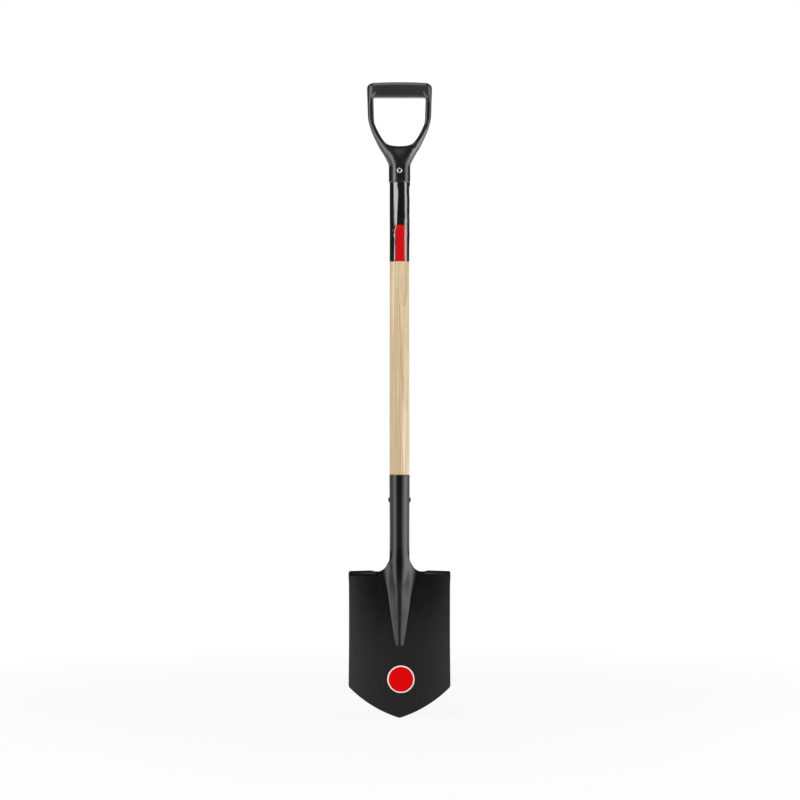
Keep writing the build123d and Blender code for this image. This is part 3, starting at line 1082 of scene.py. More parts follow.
    def half_section(self, station: float) -> list[Pair]:
        """Front skin of the strip from its crest to its edge: rolled above, a ridge below.

        Args:
            station: Distance along the centre line from the tip.

        Returns:
            Pairs of distance from the middle and depth.
        """
        crest, base, flat, crest_radius, fillet = self.ridge.at(station)
        rise = crest - fillet - crest_radius
        spread = math.hypot(base - flat, rise)
        slope = math.atan2(rise, base - flat) + math.asin(min(1.0, (crest_radius + fillet) / spread))
        flank_start = flat + crest_radius * slope
        flank_end = flank_start + math.sqrt(max(0.0, spread**2 - (crest_radius + fillet) ** 2))
        fillet_end = flank_end + fillet * slope
        ridge_length = fillet_end + self.ridge_margin
        rolled = ease((station - self.roll_bottom) / (self.roll_top - self.roll_bottom))
        radius = self.socket.at(station)[0]
        seam = math.radians(self.seam_half_angle)
        length = ridge_length + rolled * (radius * seam - ridge_length)
        kept = 1.0
        if self.neck_edge.stations[-1][0] < station < self.neck_edge.stations[0][0]:
            kept = min(1.0, self.neck_edge.at(station)[0] / length)
        x, y = 0.0, -(crest + rolled * (radius - crest))
        points = [(x, y)]
        steps = self.strip_columns * self.heading_steps
        for i in range(steps):
            share = kept * (i + 0.5) / steps
            travel = share * ridge_length
            heading = max(0.0, (fillet_end - travel) / fillet)
            if travel < flank_end:
                heading = slope
            if travel < flank_start:
                heading = max(0.0, travel - flat) / crest_radius
            heading = (1 - rolled) * heading + rolled * seam * share
            x += math.cos(heading) * kept * length / steps
            y += math.sin(heading) * kept * length / steps
            if (i + 1) % self.heading_steps == 0:
                points.append((x, y + (1 - rolled) * self.dish(x)))
        return points

    def top_edge(self, x: float) -> float:
        """Height where the plate ends at a distance from the middle: under the tread's bend outside.

        Args:
            x: Distance from the middle.

        Returns:
            The height above the tip.
        """
        if x < self.tread_inner - self.hair:
            return self.shoulder
        middle = (self.tread_inner + self.half_width) / 2
        climb = (middle - x) * math.tan(math.radians(self.tread_rise))
        return self.tread_height - self.tread_bend + climb

    def half_row(self, station: float) -> list[Vector]:
        """Right half of one row of the sheet, from its middle out, as x, depth and station.

        Args:
            station: Distance along the centre line from the tip.

        Returns:
            The row's points, fewer of them above the shoulder.
        """
        section = self.half_section(station)
        row = [Vector((x, y, station)) for x, y in section]
        if station > self.shoulder:
            return row
        top = self.half_section(self.shoulder)[-1][0]
        edge = section[-1][0]
        blend = max(0.0, station - self.shoulder_blend) / (self.shoulder - self.shoulder_blend)
        for column in self.plate_columns:
            x = edge + (column - top) / (self.half_width - top) * (self.side.at(station)[0] - edge)
            height = station + blend * (self.top_edge(column) - self.shoulder)
            row.append(Vector((x, self.dish(x), height)))
        return row

    def rows(self) -> list[list[Vector]]:
        """All half-rows of the sheet, from the point up to the socket's mouth.

        Returns:
            One list of points for each row.
        """
        base = self.half_row(self.point_top)
        rows = []
        for i in range(self.point_rows):
            share = i / self.point_rows
            flare = share + (1 - share) * self.point_corner[0] / base[-1].x
            row = []
            for spot in base:
                x = spot.x * flare
                low = self.point_outline(spot.x * self.point_corner[0] / base[-1].x)
                row.append(Vector((x, self.dish(x), low + share * (self.point_top - low))))
            rows.append(row)
        rows.append(base)
        start = self.point_top
        for stop, count in self.row_runs:
            for i in range(1, count + 1):
                rows.append(self.half_row(start + (stop - start) * i / count))
            start = stop
        return rows

    def fold_tread(
        self, shape: bmesh.types.BMesh, chain: Sequence[bmesh.types.BMVert]
    ) -> list[bmesh.types.BMVert]:
        """Fold the plate's top edge to the rear along a chain of its vertices.

        Args:
            shape: The sheet, as x, depth and station.
            chain: The edge's vertices in order.

        Returns:
            The corners of the gap between the shoulder and the fold's inner end.
        """
        edges = [shape.edges.get(pair) for pair in zip(chain, chain[1:])]
        inner = min(chain, key=lambda vert: abs(vert.co.x))
        beside = [edge.other_vert(inner) for edge in inner.link_edges]
        higher = [vert for vert in beside if vert.co.z > inner.co.z]
        corners = [min(higher, key=lambda vert: abs(vert.co.x)), inner]
        for i in range(self.bend_steps + self.flat_steps):
            grown = bmesh.ops.extrude_edge_only(shape, edges=edges)["geom"]
            moved = [item for item in grown if isinstance(item, bmesh.types.BMVert)]
            edges = [item for item in grown if isinstance(item, bmesh.types.BMEdge)]
            edges = [edge for edge in edges if all(end in moved for end in edge.verts)]
            corners.append(min(moved, key=lambda vert: abs(vert.co.x)))
            for vert in moved:
                back, rise = self.tread_step(abs(vert.co.x), i)
                vert.co.y += back
                vert.co.z += rise
            if i < self.bend_steps:
                turns = (math.pi / 2 * step / self.bend_steps for step in (i, i + 1))
                self.round_shoulder(moved, *(self.tread_bend * math.sin(turn) for turn in turns))
        return corners

    def tread_step(self, x: float, index: int) -> Pair:
        """Way to the rear and up in one step of the fold, which runs out towards its inner end.

        Args:
            x: Distance from the middle.
            index: Number of the step, round the bend and on along the flat.

        Returns:
            Both distances.
        """
        inset = x - self.tread_inner
        turn = max(self.least_turn, math.pi / 2 * ease(inset / self.tread_runout))
        reach = self.tread_reach(x)
        if index >= self.bend_steps:
            length = reach / self.flat_steps
            return length * math.sin(turn), length * math.cos(turn)
        most, width = self.tread_dip
        climb = self.tread_bend * (1 - most * (1 - ease(inset / width)))
        radius = (climb - reach * math.cos(turn)) / math.sin(turn)
        start = turn * index / self.bend_steps
        stop = turn * (index + 1) / self.bend_steps
        return radius * (math.cos(start) - math.cos(stop)), radius * (math.sin(stop) - math.sin(start))

    def shoulder_limit(self, climb: float) -> float:
        """Distance from the middle that the tread's outer end keeps after a climb of its bend.

        Args:
            climb: How far the bend has climbed.

        Returns:
            The distance.
        """
        radius = self.tread_shoulder
        over = max(0.0, climb - self.tread_bend + radius)
        return self.half_width - radius + math.sqrt(max(0.0, radius**2 - over**2))

    def round_shoulder(self, verts: Sequence[bmesh.types.BMVert], before: float, after: float) -> None:
        """Draw a tread's outer end in, so that its corner is round from the front.

        Args:
            verts: Vertices of one step of the bend.
            before: Climb of the bend at the step's start.
            after: Climb of the bend at the step's end.
        """
        root = self.half_width - self.shoulder_root * self.tread_shoulder
        squeeze = (self.shoulder_limit(after) - root) / (self.shoulder_limit(before) - root)
        for vert in verts:
            over = abs(vert.co.x) - root
            if over > 0:
                vert.co.x = math.copysign(root + over * squeeze, vert.co.x)

    def tread_reach(self, x: float) -> float:
        """Length of the tread's flat at a distance from the middle, less at its two ends.

        Args:
            x: Distance from the middle.

        Returns:
            The length.
        """
        inset = self.half_width - self.tread_shoulder - x
        short = max(0.0, self.tread_corner - inset)
        cut = self.tread_corner - math.sqrt(max(0.0, self.tread_corner**2 - short**2))
        share = ease((x - self.tread_inner) / self.tread_runout - self.flat_delay)
        return self.tread_least + share * (self.tread_depth - self.tread_bend - cut - self.tread_least)

    def thickness(self, x: float, station: float) -> float:
        """Share of the sheet's thickness, which is stretched thin round the ridge's lower end."""
        middle, length, width = self.foot
        return 1 - self.foot_thinning * bell(station - middle, length) * bell(x, width)

    def make_pressing(self) -> bpy.types.Object:
        """Make the pressed sheet from one grid.

        Returns:
            The new piece.
        """
        rows = self.rows()
        half = self.strip_columns + len(self.plate_columns)
        shape = bmesh.new()
        bmesh.ops.create_grid(shape, x_segments=2 * half, y_segments=len(rows) - 1, size=1.0)
        digits = self.grid_digits
        ordered = sorted(shape.verts, key=lambda v: (round(v.co.y, digits), round(v.co.x, digits)))
        spare: list[bmesh.types.BMVert] = []
        chains: tuple[list[bmesh.types.BMVert], list[bmesh.types.BMVert]] = ([], [])
        for r, row in enumerate(rows):
            for c in range(-half, half + 1):
                vert = ordered[r * (2 * half + 1) + half + c]
                if abs(c) >= len(row):
                    spare.append(vert)
                    continue
                spot = row[abs(c)]
                vert.co = (math.copysign(spot.x, c), spot.y, spot.z)
                column = abs(c) - self.strip_columns - 1
                on_top = len(row) == half + 1 and len(rows[r + 1]) < half + 1
                if on_top and column >= 0 and self.plate_columns[column] >= self.tread_inner:
                    chains[c > 0].append(vert)
        gaps = [self.fold_tread(shape, chain) for chain in chains]
        bmesh.ops.delete(shape, geom=spare, context="VERTS")
        for gap in gaps:
            bmesh.ops.contextual_create(shape, geom=gap)
        thickness = shape.verts.layers.deform.verify()
        for vert in shape.verts:
            vert[thickness][0] = self.thickness(vert.co.x, vert.co.z)
            vert.co = self.place(*vert.co)
        bmesh.ops.recalc_face_normals(shape, faces=shape.faces[:])
        shape.normal_update()
        if sum(face.normal.y * face.calc_area() for face in shape.faces) > 0:
            bmesh.ops.reverse_faces(shape, faces=shape.faces[:])
        piece = self.publish(shape, "blade_pressing", self.coat, "blade", Shading.SMOOTH)
        piece.vertex_groups.new(name="thickness")
        wall = piece.modifiers.new("sheet", "SOLIDIFY")
        wall.vertex_group = "thickness"
        wall.thickness = self.sheet * MM
        wall.offset = -1.0
        rim = piece.modifiers.new("edges", "BEVEL")
        rim.limit_method = "ANGLE"
        rim.angle_limit = math.radians(self.edge_angle)
        rim.width = self.edge_round * MM
        rim.segments = self.edge_segments
        rim.harden_normals = True
        return piece

    def make_rivet(self) -> bpy.types.Object:
        """Make the through rivet with a domed head on each side.

        Returns:
            The new piece.
        """
        outside = self.socket.at(self.rivet_height)[0]
        dome = (self.rivet_head**2 + self.rivet_rise**2) / (2 * self.rivet_rise)
        half_angle = math.asin(self.rivet_head / dome)
        head = []
        for i in range(self.dome_steps + 1):
            angle = half_angle * i / self.dome_steps
            height = outside + self.rivet_rise - dome * (1 - math.cos(angle))
            head.append((dome * math.sin(angle), height))
        head.append((self.rivet_head, outside - self.rivet_bed))
        head.append((self.rivet_radius, outside - self.rivet_bed))
        profile = head + [(r, -h) for r, h in reversed(head)]
        origin = to_frame(0, 0, self.rivet_height)
        shape = self.turned(profile, origin, RIGHT, UP, self.rivet_facets)
        return self.publish(shape, "socket_rivet_heads", self.coat, "socket_rivet", Shading.CREASED)

    def make_label(self) -> bpy.types.Object:
        """Make the round label, bedded on the dished front.

        Returns:
            The new piece.
        """
        x, station = self.label_middle
        count = self.label_rings
        rings = [(self.label_radius * i / count, 0.0) for i in range(count + 1)]
        shape = self.turned(rings, Vector(), REAR, RIGHT, self.label_facets)
        for vert in shape.verts:
            side = x + vert.co.x / MM
            vert.co = self.place(side, self.dish(side), station + vert.co.z / MM)
        shape.normal_update()
        if sum(face.normal.y for face in shape.faces) > 0:
            bmesh.ops.reverse_faces(shape, faces=shape.faces[:])
        finish = PrintedLabel(
            middle=tuple(self.place(x, self.dish(x), station)), radius=self.label_radius
        )
        piece = self.publish(shape, "round_label", finish, "blade_label", Shading.SMOOTH)
        film = piece.modifiers.new("film", "SOLIDIFY")
        film.thickness = self.label_film * MM
        film.offset = 1.0
        return piece

    def build(self) -> None:
        """Make all pieces."""
        self.make_pressing()
        self.make_rivet()
        self.make_label()


@dataclass(frozen=True)
class Ruck:
    """A patch where the film stands off the wood.

    Attributes:
        turn: Degrees from the front, positive to the right.
        width: Radians over which it fades out to each side.
        lift: Distance from the wood, in millimetres.
        crumple: How far that distance changes with the fine noise.
        rise: Height where it starts, and length over which it grows.
        fall: Height where it ends, and length over which it shrinks before that.
        hump: Height of its middle, and length over which it fades out above and below.
    """

    turn: float
    width: float
    lift: float
    crumple: float
    rise: Pair = (-math.inf, 1.0)
    fall: Pair = (math.inf, 1.0)
    hump: Pair = (0.0, math.inf)

    def height(self, turn: float, height: float, fine: float) -> float:
        """Distance from the wood.

        Args:
            turn: Angle from the front, in radians.
            height: Height above the blade's tip.
            fine: The fine noise there.

        Returns:
            The distance, in millimetres.
        """
        share = bell(turn - math.radians(self.turn), self.width)
        share *= ease((height - self.rise[0]) / self.rise[1])
        share *= ease((self.fall[0] - height) / self.fall[1])
        share *= bell(height - self.hump[0], self.hump[1])
        return share * (self.lift + self.crumple * fine)


@dataclass
class Handle(SubAssembly):
    """Ash shaft and the shrink film round its top.

    Attributes:
        spigot: Radii and heights of the end inside the blade's socket.
        edge_share: Share of an edge's width that its rounding takes off in the middle.
        slack: Mean distance of the film from the wood, and how far it changes with the broad noise.
        slack_scales: Scale of the broad noise round the shaft, and its length along the shaft.
        fine: How far the film's distance changes with the fine noise.
        fine_scales: Scale of the fine noise round the shaft, and its length along the shaft.
        fine_shift: Where the fine noise is read, so that it differs from the broad one.
        crease: Degrees from the front at which the long crease lies at each height.
        crease_spread: Degrees over which the crease fades out to the left and to the right.
    """

    end: float = 326.0
    spigot: tuple[Pair, ...] = (
        (16.0, 326.0), (16.0, 350.0), (16.4, 385.0), (16.85, 420.0), (16.9, 450.4)
    )
    shoulder: float = 450.4
    radius_low: float = 18.6
    radius_middle: float = 18.4
    middle: float = 650.0
    radius_top: float = 18.15
    top_shoulder: float = 993.35
    tenon_radius: float = 16.55
    tenon_top: float = 1045.0
    edge: float = 1.0
    edge_share: float = 0.3
    spacing: float = 12.0
    segments: int = 96
    film_bottom: float = 846.5
    film: float = 0.3
    film_rows: float = 1.5
    film_segments: int = 240
    slack: Pair = (0.16, 0.16)
    slack_scales: Pair = (2.2, 45.0)
    fine: float = 0.05
    fine_scales: Pair = (6.5, 11.0)
    fine_shift: float = 7.0
    rucks: tuple[Ruck, ...] = (
        Ruck(86.0, 0.40, 0.28, 0.45, rise=(872.0, 25.0), fall=(978.0, 20.0)),
        Ruck(-34.0, 0.35, 0.20, 0.60, hump=(902.0, 13.0)),
        Ruck(80.0, 0.22, 1.0, 0.5, rise=(984.5, 4.0)),
    )
    crease: Curve = Curve(
        ((850.0, -31.0), (890.0, -28.0), (905.0, -25.0), (918.0, -14.0), (940.0, -11.5))
        + ((958.0, -8.5), (990.0, 1.5))
    )
    crease_height: float = 1.0
    crease_spread: Pair = (25.0, 60.0)

    def make_shaft(self) -> bpy.types.Object:
        """Turn the shaft.

        Returns:
            The new piece.
        """
        rounding = self.edge_share * self.edge
        steps = [
            (0.0, self.end),
            *self.spigot,
            (self.radius_low - self.edge, self.shoulder),
            (self.radius_low - rounding, self.shoulder + rounding),
            (self.radius_low, self.shoulder + self.edge),
            (self.radius_middle, self.middle),
            (self.radius_top, self.film_bottom - self.edge),
            (self.radius_top, self.top_shoulder),
            (self.tenon_radius, self.top_shoulder),
            (self.tenon_radius, self.tenon_top),
            (0.0, self.tenon_top),
        ]
        profile = self.tube_profile(steps, self.spacing)
        shape = self.turned(profile, to_frame(0, 0, 0), UP, RIGHT, self.segments)
        return self.publish(shape, "ash_shaft", AshWood(), "shaft", Shading.CREASED)

    def wrinkle(self, turn: float, height: float) -> float:
        """How far the film stands off the wood.

        Args:
            turn: Angle from the front, positive to the right, in radians.
            height: Height above the blade's tip.

        Returns:
            The distance, in millimetres, never negative.
        """
        around = Vector((math.sin(turn), math.cos(turn), 0.0))
        scale, length = self.slack_scales
        slack = noise.noise(around * scale + Vector((0, 0, height / length)))
        scale, length = self.fine_scales
        fine = noise.noise(around * scale + Vector((self.fine_shift, 0, height / length)))
        beside = math.degrees(turn) - self.crease.at(height)[0]
        spread = self.crease_spread[beside > 0]
        fold = self.crease_height * max(0.0, 1 - abs(beside) / spread) ** 2
        mean, change = self.slack
        lift = mean + change * slack + self.fine * fine + fold
        for ruck in self.rucks:
            lift += ruck.height(turn, height, fine)
        return max(0.0, lift)

    def make_sleeve(self) -> bpy.types.Object:
        """Shrink the film round the shaft.

        Returns:
            The new piece.
        """
        outside = self.radius_top + self.film
        low, high = self.film_bottom, self.top_shoulder
        skin = [(self.radius_top, low), (outside, low), (outside, high)]
        inside = [(self.radius_top, high), (self.radius_top, low)]
        profile = self.tube_profile(skin, self.film_rows) + inside
        shape = self.turned(profile, to_frame(0, 0, 0), UP, RIGHT, self.film_segments)
        for vert in shape.verts:
            radius = math.hypot(vert.co.x, vert.co.y)
            if radius > (self.radius_top + self.film / 2) * MM:
                turn = math.atan2(vert.co.x, -vert.co.y)
                grown = radius + self.wrinkle(turn, vert.co.z / MM + HANG_HEIGHT) * MM
                vert.co.x *= grown / radius
                vert.co.y *= grown / radius
        return self.publish(shape, "film_sleeve", ShrinkFilm(), "shaft_sleeve", Shading.CREASED)

    def build(self) -> None:
        """Make both pieces."""
        self.make_shaft()
        self.make_sleeve()


@dataclass
class Grip(SubAssembly):
    """Moulded D-grip and its screw.

    Attributes:
        voxel: Size of the even skin's mesh.
        smoothing: Passes that smooth the whole skin; collar_smoothing is for the collar alone.
        smooth_factor: Share of the way that a vertex goes in one pass.
        yoke: Share of the depth that the yoke loses at its sides, at each height.
        yoke_width: The yoke's half-width at each height.
        collar: Heights between which the collar is smoothed.
        stretch: Factor by which the moulding is widened at each height.
        saddle_heights: Heights between which the lowering of the saddle sets in.
        saddle_zone: Heights between which the saddle's edges lie.
        saddle_reach: Distances from the middle where its sharp edges start to fade and where they end.
        saddle_edge: Half-depth of the saddle and radius of its round edges; bar_edge is the same.
        bar_reach: Distances from the middle where the bar's bevels start to fade and where they end.
        bevel_slope: How far the bevel goes in for each unit of its height.
        curl_middle: Distance from the middle and height of the curls' centres.
        curl_end: Distances outward from a centre between which its curl sets in.
        curl_fade: Length below a centre over which its curl sets in.
        curl_front: Depth before the axis where the curls start, and length over which they grow.
        column: Width of the columns in which the height of an upper face is read.
    """

    voxel: float = 0.85
    smoothing: int = 6
    smooth_factor: float = 0.5
    yoke: Curve = Curve(((1028.0, 0.0), (1046.0, 0.36), (1062.0, 0.40), (1078.0, 0.20), (1092.0, 0.0)))
    yoke_width: Curve = Curve(
        ((1028.0, 19.9), (1039.5, 25.7), (1051.0, 32.0), (1062.5, 38.4), (1074.0, 44.1), (1092.0, 52.0))
    )
    collar: Pair = (1019.8, 1056.0)
    collar_smoothing: int = 150
    stretch: Curve = Curve(
        ((1000.0, 1.013), (1020.0, 1.014), (1030.0, 1.024), (1043.0, 1.045), (1055.0, 1.036))
        + ((1073.0, 1.030), (1100.0, 1.019), (1125.0, 1.012), (1180.0, 1.007))
    )
    saddle_drop: float = 3.0
    saddle_width: float = 25.0
    saddle_heights: Pair = (1038.0, 1062.0)
    bar_foot: float = 1140.0
    saddle_zone: Pair = (1050.0, 1090.0)
    saddle_reach: Pair = (20.0, 32.0)
    saddle_edge: Pair = (15.6, 4.5)
    bar_edge: Pair = (14.5, 9.0)
    bar_reach: Pair = (51.0, 58.0)
    bevel_height: float = 4.8
    bevel_slope: float = 0.364
    curl_middle: Pair = (39.0, 1151.5)
    curl_radius: float = 11.0
    curl_width: float = 2.5
    curl_height: float = 1.5
    curl_end: Pair = (5.0, 7.0)
    curl_fade: float = 5.0
    curl_front: Pair = (6.0, 3.0)
    column: float = 2.0

    def make_moulding(self) -> bpy.types.Object:
        """Make the moulding: the CAD shape with an even skin.

        Returns:
            The new piece.
        """
        shape = self.copied("d_grip")
        rough = bpy.data.meshes.new("grip_skin")
        shape.to_mesh(rough)
        shape.free()
        carrier = bpy.data.objects.new("grip_skin", rough)
        bpy.context.scene.collection.objects.link(carrier)
        skin = carrier.modifiers.new("skin", "REMESH")
        skin.mode = "VOXEL"
        skin.voxel_size = self.voxel * MM
        depsgraph = bpy.context.evaluated_depsgraph_get()
        even = bpy.data.meshes.new_from_object(carrier.evaluated_get(depsgraph))
        shape = bmesh.new()
        shape.from_mesh(even)
        bpy.data.objects.remove(carrier)
        bpy.data.meshes.remove(rough)
        bpy.data.meshes.remove(even)
        self.square_bar(shape)
        self.round_yoke(shape)
        self.relax(shape, shape.verts[:], self.smoothing)
        low, high = (to_frame(0, 0, height).z for height in self.collar)
        collar = [vert for vert in shape.verts if low < vert.co.z < high]
        self.relax(shape, collar, self.collar_smoothing)
        self.raise_curls(shape)
        return self.publish(shape, "d_grip_moulding", MouldedPlastic(), "d_grip", Shading.SMOOTH)

    def relax(self, shape: bmesh.types.BMesh, verts: list[bmesh.types.BMVert], passes: int) -> None:
        """Smooth some vertices a number of times.

        Args:
            shape: The skin that they belong to.
            verts: Which vertices.
            passes: How many times.
        """
        axes = {f"use_axis_{axis}": True for axis in "xyz"}
        for _ in range(passes):
            bmesh.ops.smooth_vert(shape, verts=verts, factor=self.smooth_factor, **axes)

    def round_yoke(self, shape: bmesh.types.BMesh) -> None:
        """Round the yoke's front and back, lower its saddle and spread it a little.

        Args:
            shape: The skin, in metres; it is changed.
        """
        for vert in shape.verts:
            height = vert.co.z / MM + HANG_HEIGHT
            share = abs(vert.co.x) / MM / self.yoke_width.at(height)[0]
            vert.co.y *= 1 - self.yoke.at(height)[0] * min(share, 1.0) ** 2
            low, high = self.saddle_heights
            drop = self.saddle_drop * ease((height - low) / (high - low))
            if height < self.bar_foot:
                vert.co.z -= drop * bell(vert.co.x / MM, self.saddle_width) * MM
            vert.co.x *= self.stretch.at(height)[0]

    def square_edges(
        self, verts: list[bmesh.types.BMVert], edge: Pair, reach: Pair, cut: float
    ) -> None:
        """Turn the round front and back edges of an upper face into flat bevels or corners.

        Args:
            verts: Vertices of the upper face and the sides below it.
            edge: Half-depth of the face and radius of its round edges.
            reach: Distances from the middle where the change starts to fade and where it is gone.
            cut: Height of the bevel that is left, or 0 for a corner.
        """
        tops: dict[int, float] = {}
        for vert in verts:
            column = round(vert.co.x / MM / self.column)
            tops[column] = max(tops.get(column, vert.co.z), vert.co.z)
        half, radius = edge
        near, far = reach
        for vert in verts:
            column = math.floor(vert.co.x / MM / self.column)
            share = vert.co.x / MM / self.column - column
            first = tops.get(column, tops.get(column + 1, vert.co.z))
            top = first + share * (tops.get(column + 1, first) - first)
            below = max(0.0, (top - vert.co.z) / MM)
            if below < radius:
                share = 1 - ease((abs(vert.co.x) / MM - near) / (far - near))
                rounded = radius - math.sqrt(radius**2 - (radius - below) ** 2)
                flat = max(0.0, cut - below) * self.bevel_slope
                vert.co.y *= 1 + share * ((half - flat) / (half - rounded) - 1)

    def square_bar(self, shape: bmesh.types.BMesh) -> None:
        """Bevel the hand bar's upper edges and sharpen those of the saddle below the hand.

        Args:
            shape: The skin, in metres; it is changed.
        """
        bar = [vert for vert in shape.verts if vert.co.z > 0]
        self.square_edges(bar, self.bar_edge, self.bar_reach, self.bevel_height)
        low, high = (to_frame(0, 0, height).z for height in self.saddle_zone)
        saddle = [vert for vert in shape.verts if low < vert.co.z < high]
        saddle = [vert for vert in saddle if abs(vert.co.x) < self.saddle_reach[1] * MM]
        self.square_edges(saddle, self.saddle_edge, self.saddle_reach, 0.0)

    def raise_curls(self, shape: bmesh.types.BMesh) -> None:
        """Raise the line that curls from each arm up into the bar's front.

        Args:
            shape: The skin, in metres; it is changed.
        """
        near, far = self.curl_end
        start, length = self.curl_front
        for vert in shape.verts:
            across = abs(vert.co.x) / MM - self.curl_middle[0]
            above = vert.co.z / MM + HANG_HEIGHT - self.curl_middle[1]
            off = abs(math.hypot(across, above) - self.curl_radius)
            stretch = ease((above + self.curl_fade) / self.curl_fade)
            stretch *= ease((across - near) / (far - near))
            front = ease((-vert.co.y / MM - start) / length)
            vert.co.y -= self.curl_height * stretch * front * ease(1 - off / self.curl_width) * MM

    def make_screw(self) -> bpy.types.Object:
        """Make the screw from the CAD shape, with creases at its recess and rim.

        Returns:
            The new piece.
        """
        return self.publish(
            self.copied("grip_screw"), "grip_screw_bright", ZincSteel(), "grip_screw", Shading.CREASED
        )

    def build(self) -> None:
        """Make both pieces."""
        self.make_moulding()
        self.make_screw()


@dataclass(frozen=True)
class SoftBox:
    """A soft light beside the spade.

    Attributes:
        name: What it is called.
        azimuth: Degrees to the right of the camera, seen from the spade.
        distance: Metres from the spade.
        height: Height of its middle in the frame, in metres.
        aim: Height in the frame at which it points, in metres.
        size: Width and height, in metres.
        glow: Brightness of its middle, where 1 is white.
        soft: Shares of its width and height over which it fades out at each side.
    """

    name: str
    azimuth: float
    distance: float
    height: float
    aim: float
    size: Pair
    glow: float
    soft: Pair = (0.3, 0.08)

    def make(self) -> bpy.types.Object:
        """Make the light.

        Returns:
            The lamp's object.
        """
        lamp = bpy.data.lights.new(self.name, "AREA")
        lamp.shape = "RECTANGLE"
        lamp.size, lamp.size_y = self.size
        lamp.energy = self.glow * self.size[0] * self.size[1] * math.pi
        lamp.use_nodes = True
        graph = Graph(lamp.node_tree)
        across, up, _ = graph.parts(graph.out(graph.node("ShaderNodeNewGeometry"), "Parametric"))
        fade = graph.window(across, self.soft[0]) * graph.window(up, self.soft[1])
        glow = graph.out(graph.node("ShaderNodeEmission", inputs={"Strength": fade}))
        graph.node("ShaderNodeOutputLight", inputs={"Surface": glow})
        light = bpy.data.objects.new(self.name, lamp)
        angle = math.radians(self.azimuth)
        out = Vector((math.sin(angle), -math.cos(angle), 0.0)) * self.distance
        light.location = out + Vector((0.0, 0.0, self.height))
        aim = Vector((0.0, 0.0, self.aim)) - light.location
        light.rotation_euler = aim.to_track_quat("-Z", "Y").to_euler()
        light.visible_camera = False
        bpy.context.scene.collection.objects.link(light)
        return light


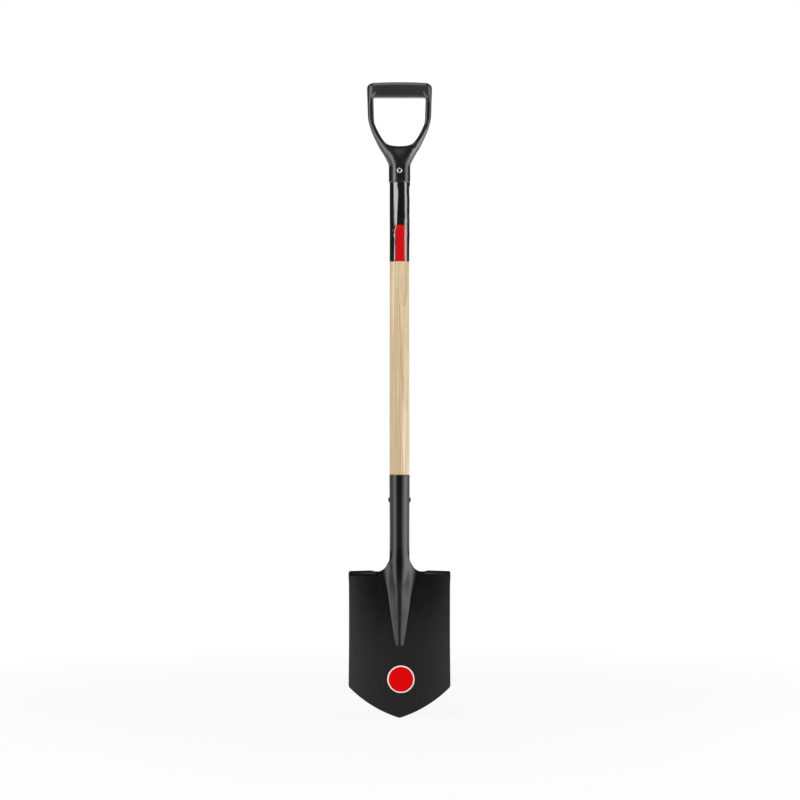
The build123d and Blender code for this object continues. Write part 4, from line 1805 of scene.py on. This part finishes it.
@dataclass
class Studio:
    """White studio: a pale floor, soft lights round the spade and a level camera.

    Attributes:
        middle: Height of the camera in the frame, in metres, like all lengths here but the sensor's.
        picture_width: Width of the picture at the spade.
        floor_white: How pale the floor is.
        floor_show: How white the floor shows near the spade, where 1 hides the shadow.
        shadow_reach: Distances from the axis where the shadow starts to fade and where it is gone.
        fill: Brightness of the room as a light.
        dark_side: Brightness of the room on the camera's side in reflections.
        backdrop_edge: Directions to the rear between which the room turns white in reflections.
        white_floor: Distances to the rear between which the floor turns white in reflections.
    """

    middle: float = -0.563
    camera_distance: float = 5.0
    camera_side: float = 0.0009
    picture_width: float = 1.4907
    sensor: float = 36.0
    floor_reach: float = 40.0
    floor_white: float = 0.80
    floor_show: float = 0.90
    shadow_reach: Pair = (0.4, 1.6)
    fill: float = 0.15
    dark_side: float = 0.03
    backdrop_edge: Pair = (0.75, 0.97)
    white_floor: Pair = (-0.2, 0.5)
    lights: tuple[SoftBox, ...] = (
        SoftBox("left_low_softbox", -61.0, 1.5, -0.85, -0.85, (1.65, 1.0), 2.8),
        SoftBox("right_low_softbox", 74.0, 1.5, -0.85, -0.85, (1.90, 1.0), 3.8),
        SoftBox("left_panel", -40.0, 1.5, -1.0, -1.0, (0.90, 0.9), 1.0, (0.45, 0.45)),
        SoftBox("right_panel", 40.0, 1.5, -1.0, -1.0, (1.05, 0.9), 2.5, (0.45, 0.45)),
        SoftBox("left_high_softbox", -55.5, 1.5, 0.15, 0.15, (1.00, 1.0), 3.2, (0.12, 0.08)),
        SoftBox("right_high_softbox", 80.0, 1.5, 0.15, 0.15, (0.95, 1.0), 2.5, (0.15, 0.08)),
        SoftBox("top_softbox", 0.0, 1.7, 1.7, -0.5, (2.0, 2.0), 2.2, (0.2, 0.2)),
        SoftBox("rear_softbox", 165.0, 3.6, 1.2, -0.5, (2.4, 1.6), 1.6),
    )

    @staticmethod
    def seen(graph: Graph, *rays: Ray) -> Value:
        """1 for the named kinds of ray and 0 for others.

        Args:
            graph: The node graph that asks.
            rays: Kinds of ray, at least one.

        Returns:
            The mask of those rays.
        """
        path = graph.node("ShaderNodeLightPath")
        total = graph.out(path, rays[0].value)
        for ray in rays[1:]:
            total = graph.math("MAXIMUM", total, graph.out(path, ray.value))
        return total

    def make_floor(self) -> None:
        """Lay the pale floor under the tip; it shows white and keeps the shadow."""
        shape = bmesh.new()
        bmesh.ops.create_grid(shape, x_segments=2, y_segments=2, size=self.floor_reach)
        bmesh.ops.translate(shape, verts=shape.verts[:], vec=(0, 0, CAD_BOX[0].z))
        mesh = bpy.data.meshes.new("floor")
        shape.to_mesh(mesh)
        shape.free()
        finish = bpy.data.materials.new("pale_floor")
        finish.use_nodes = True
        graph = Graph(finish.node_tree)
        matte = graph.out(
            graph.node("ShaderNodeBsdfDiffuse", inputs={"Color": (*(self.floor_white,) * 3, 1.0)})
        )
        x, y, _ = graph.parts(graph.place())
        white = graph.out(graph.node("ShaderNodeEmission", inputs={"Strength": 1.0}))
        far = graph.step((x * x + y * y) ** 0.5, *self.shadow_reach)
        shown = self.seen(graph, Ray.CAMERA, Ray.TRANSMISSION)
        shown = shown * (self.floor_show + (1 - self.floor_show) * far)
        mirrored = self.seen(graph, Ray.GLOSSY) * graph.step(y, *self.white_floor)
        share = shown + mirrored
        mixed = graph.out(graph.node("ShaderNodeMixShader", inputs={0: share, 1: matte, 2: white}))
        graph.node("ShaderNodeOutputMaterial", inputs={"Surface": mixed})
        mesh.materials.append(finish)
        floor = bpy.data.objects.new("floor", mesh)
        bpy.context.scene.collection.objects.link(floor)

    def make_world(self) -> None:
        """Make the backdrop white, with a dim room on the camera's side."""
        world = bpy.data.worlds.new("studio")
        world.use_nodes = True
        bpy.context.scene.world = world
        graph = Graph(world.node_tree)
        direction = graph.out(graph.node("ShaderNodeTexCoord"), "Generated")
        depth = graph.parts(direction)[1]
        room = self.dark_side + (1 - self.dark_side) * graph.step(depth, *self.backdrop_edge)
        glossy = self.seen(graph, Ray.GLOSSY)
        white = self.seen(graph, Ray.CAMERA, Ray.TRANSMISSION)
        light = glossy * room + (1 - glossy) * self.fill
        strength = white + (1 - white) * light
        paint = {"Color": (1.0, 1.0, 1.0, 1.0), "Strength": strength}
        shader = graph.out(graph.node("ShaderNodeBackground", inputs=paint))
        graph.node("ShaderNodeOutputWorld", inputs={"Surface": shader})

    def make_camera(self) -> None:
        """Set the level camera in front of the blade."""
        data = bpy.data.cameras.new("front_camera")
        data.sensor_width = self.sensor
        data.lens = self.sensor * self.camera_distance / self.picture_width
        camera = bpy.data.objects.new("front_camera", data)
        camera.location = (self.camera_side, -self.camera_distance, self.middle)
        camera.rotation_euler = (math.pi / 2, 0.0, 0.0)
        bpy.context.scene.collection.objects.link(camera)
        bpy.context.scene.camera = camera

    def build(self) -> None:
        """Set up the floor, the backdrop, the lights and the camera."""
        bpy.context.scene.view_settings.view_transform = "Standard"
        self.make_floor()
        self.make_world()
        for light in self.lights:
            light.make()
        self.make_camera()


def main() -> None:
    """Build the spade and its studio."""
    logging.basicConfig(level=logging.INFO)
    Studio().build()
    for assembly in (Blade(), Handle(), Grip()):
        assembly.build()
        for piece in assembly.pieces:
            LOG.info("%s: %d faces", piece.name, len(piece.data.polygons))
    bpy.context.view_layer.update()


if __name__ == "__main__":
    main()
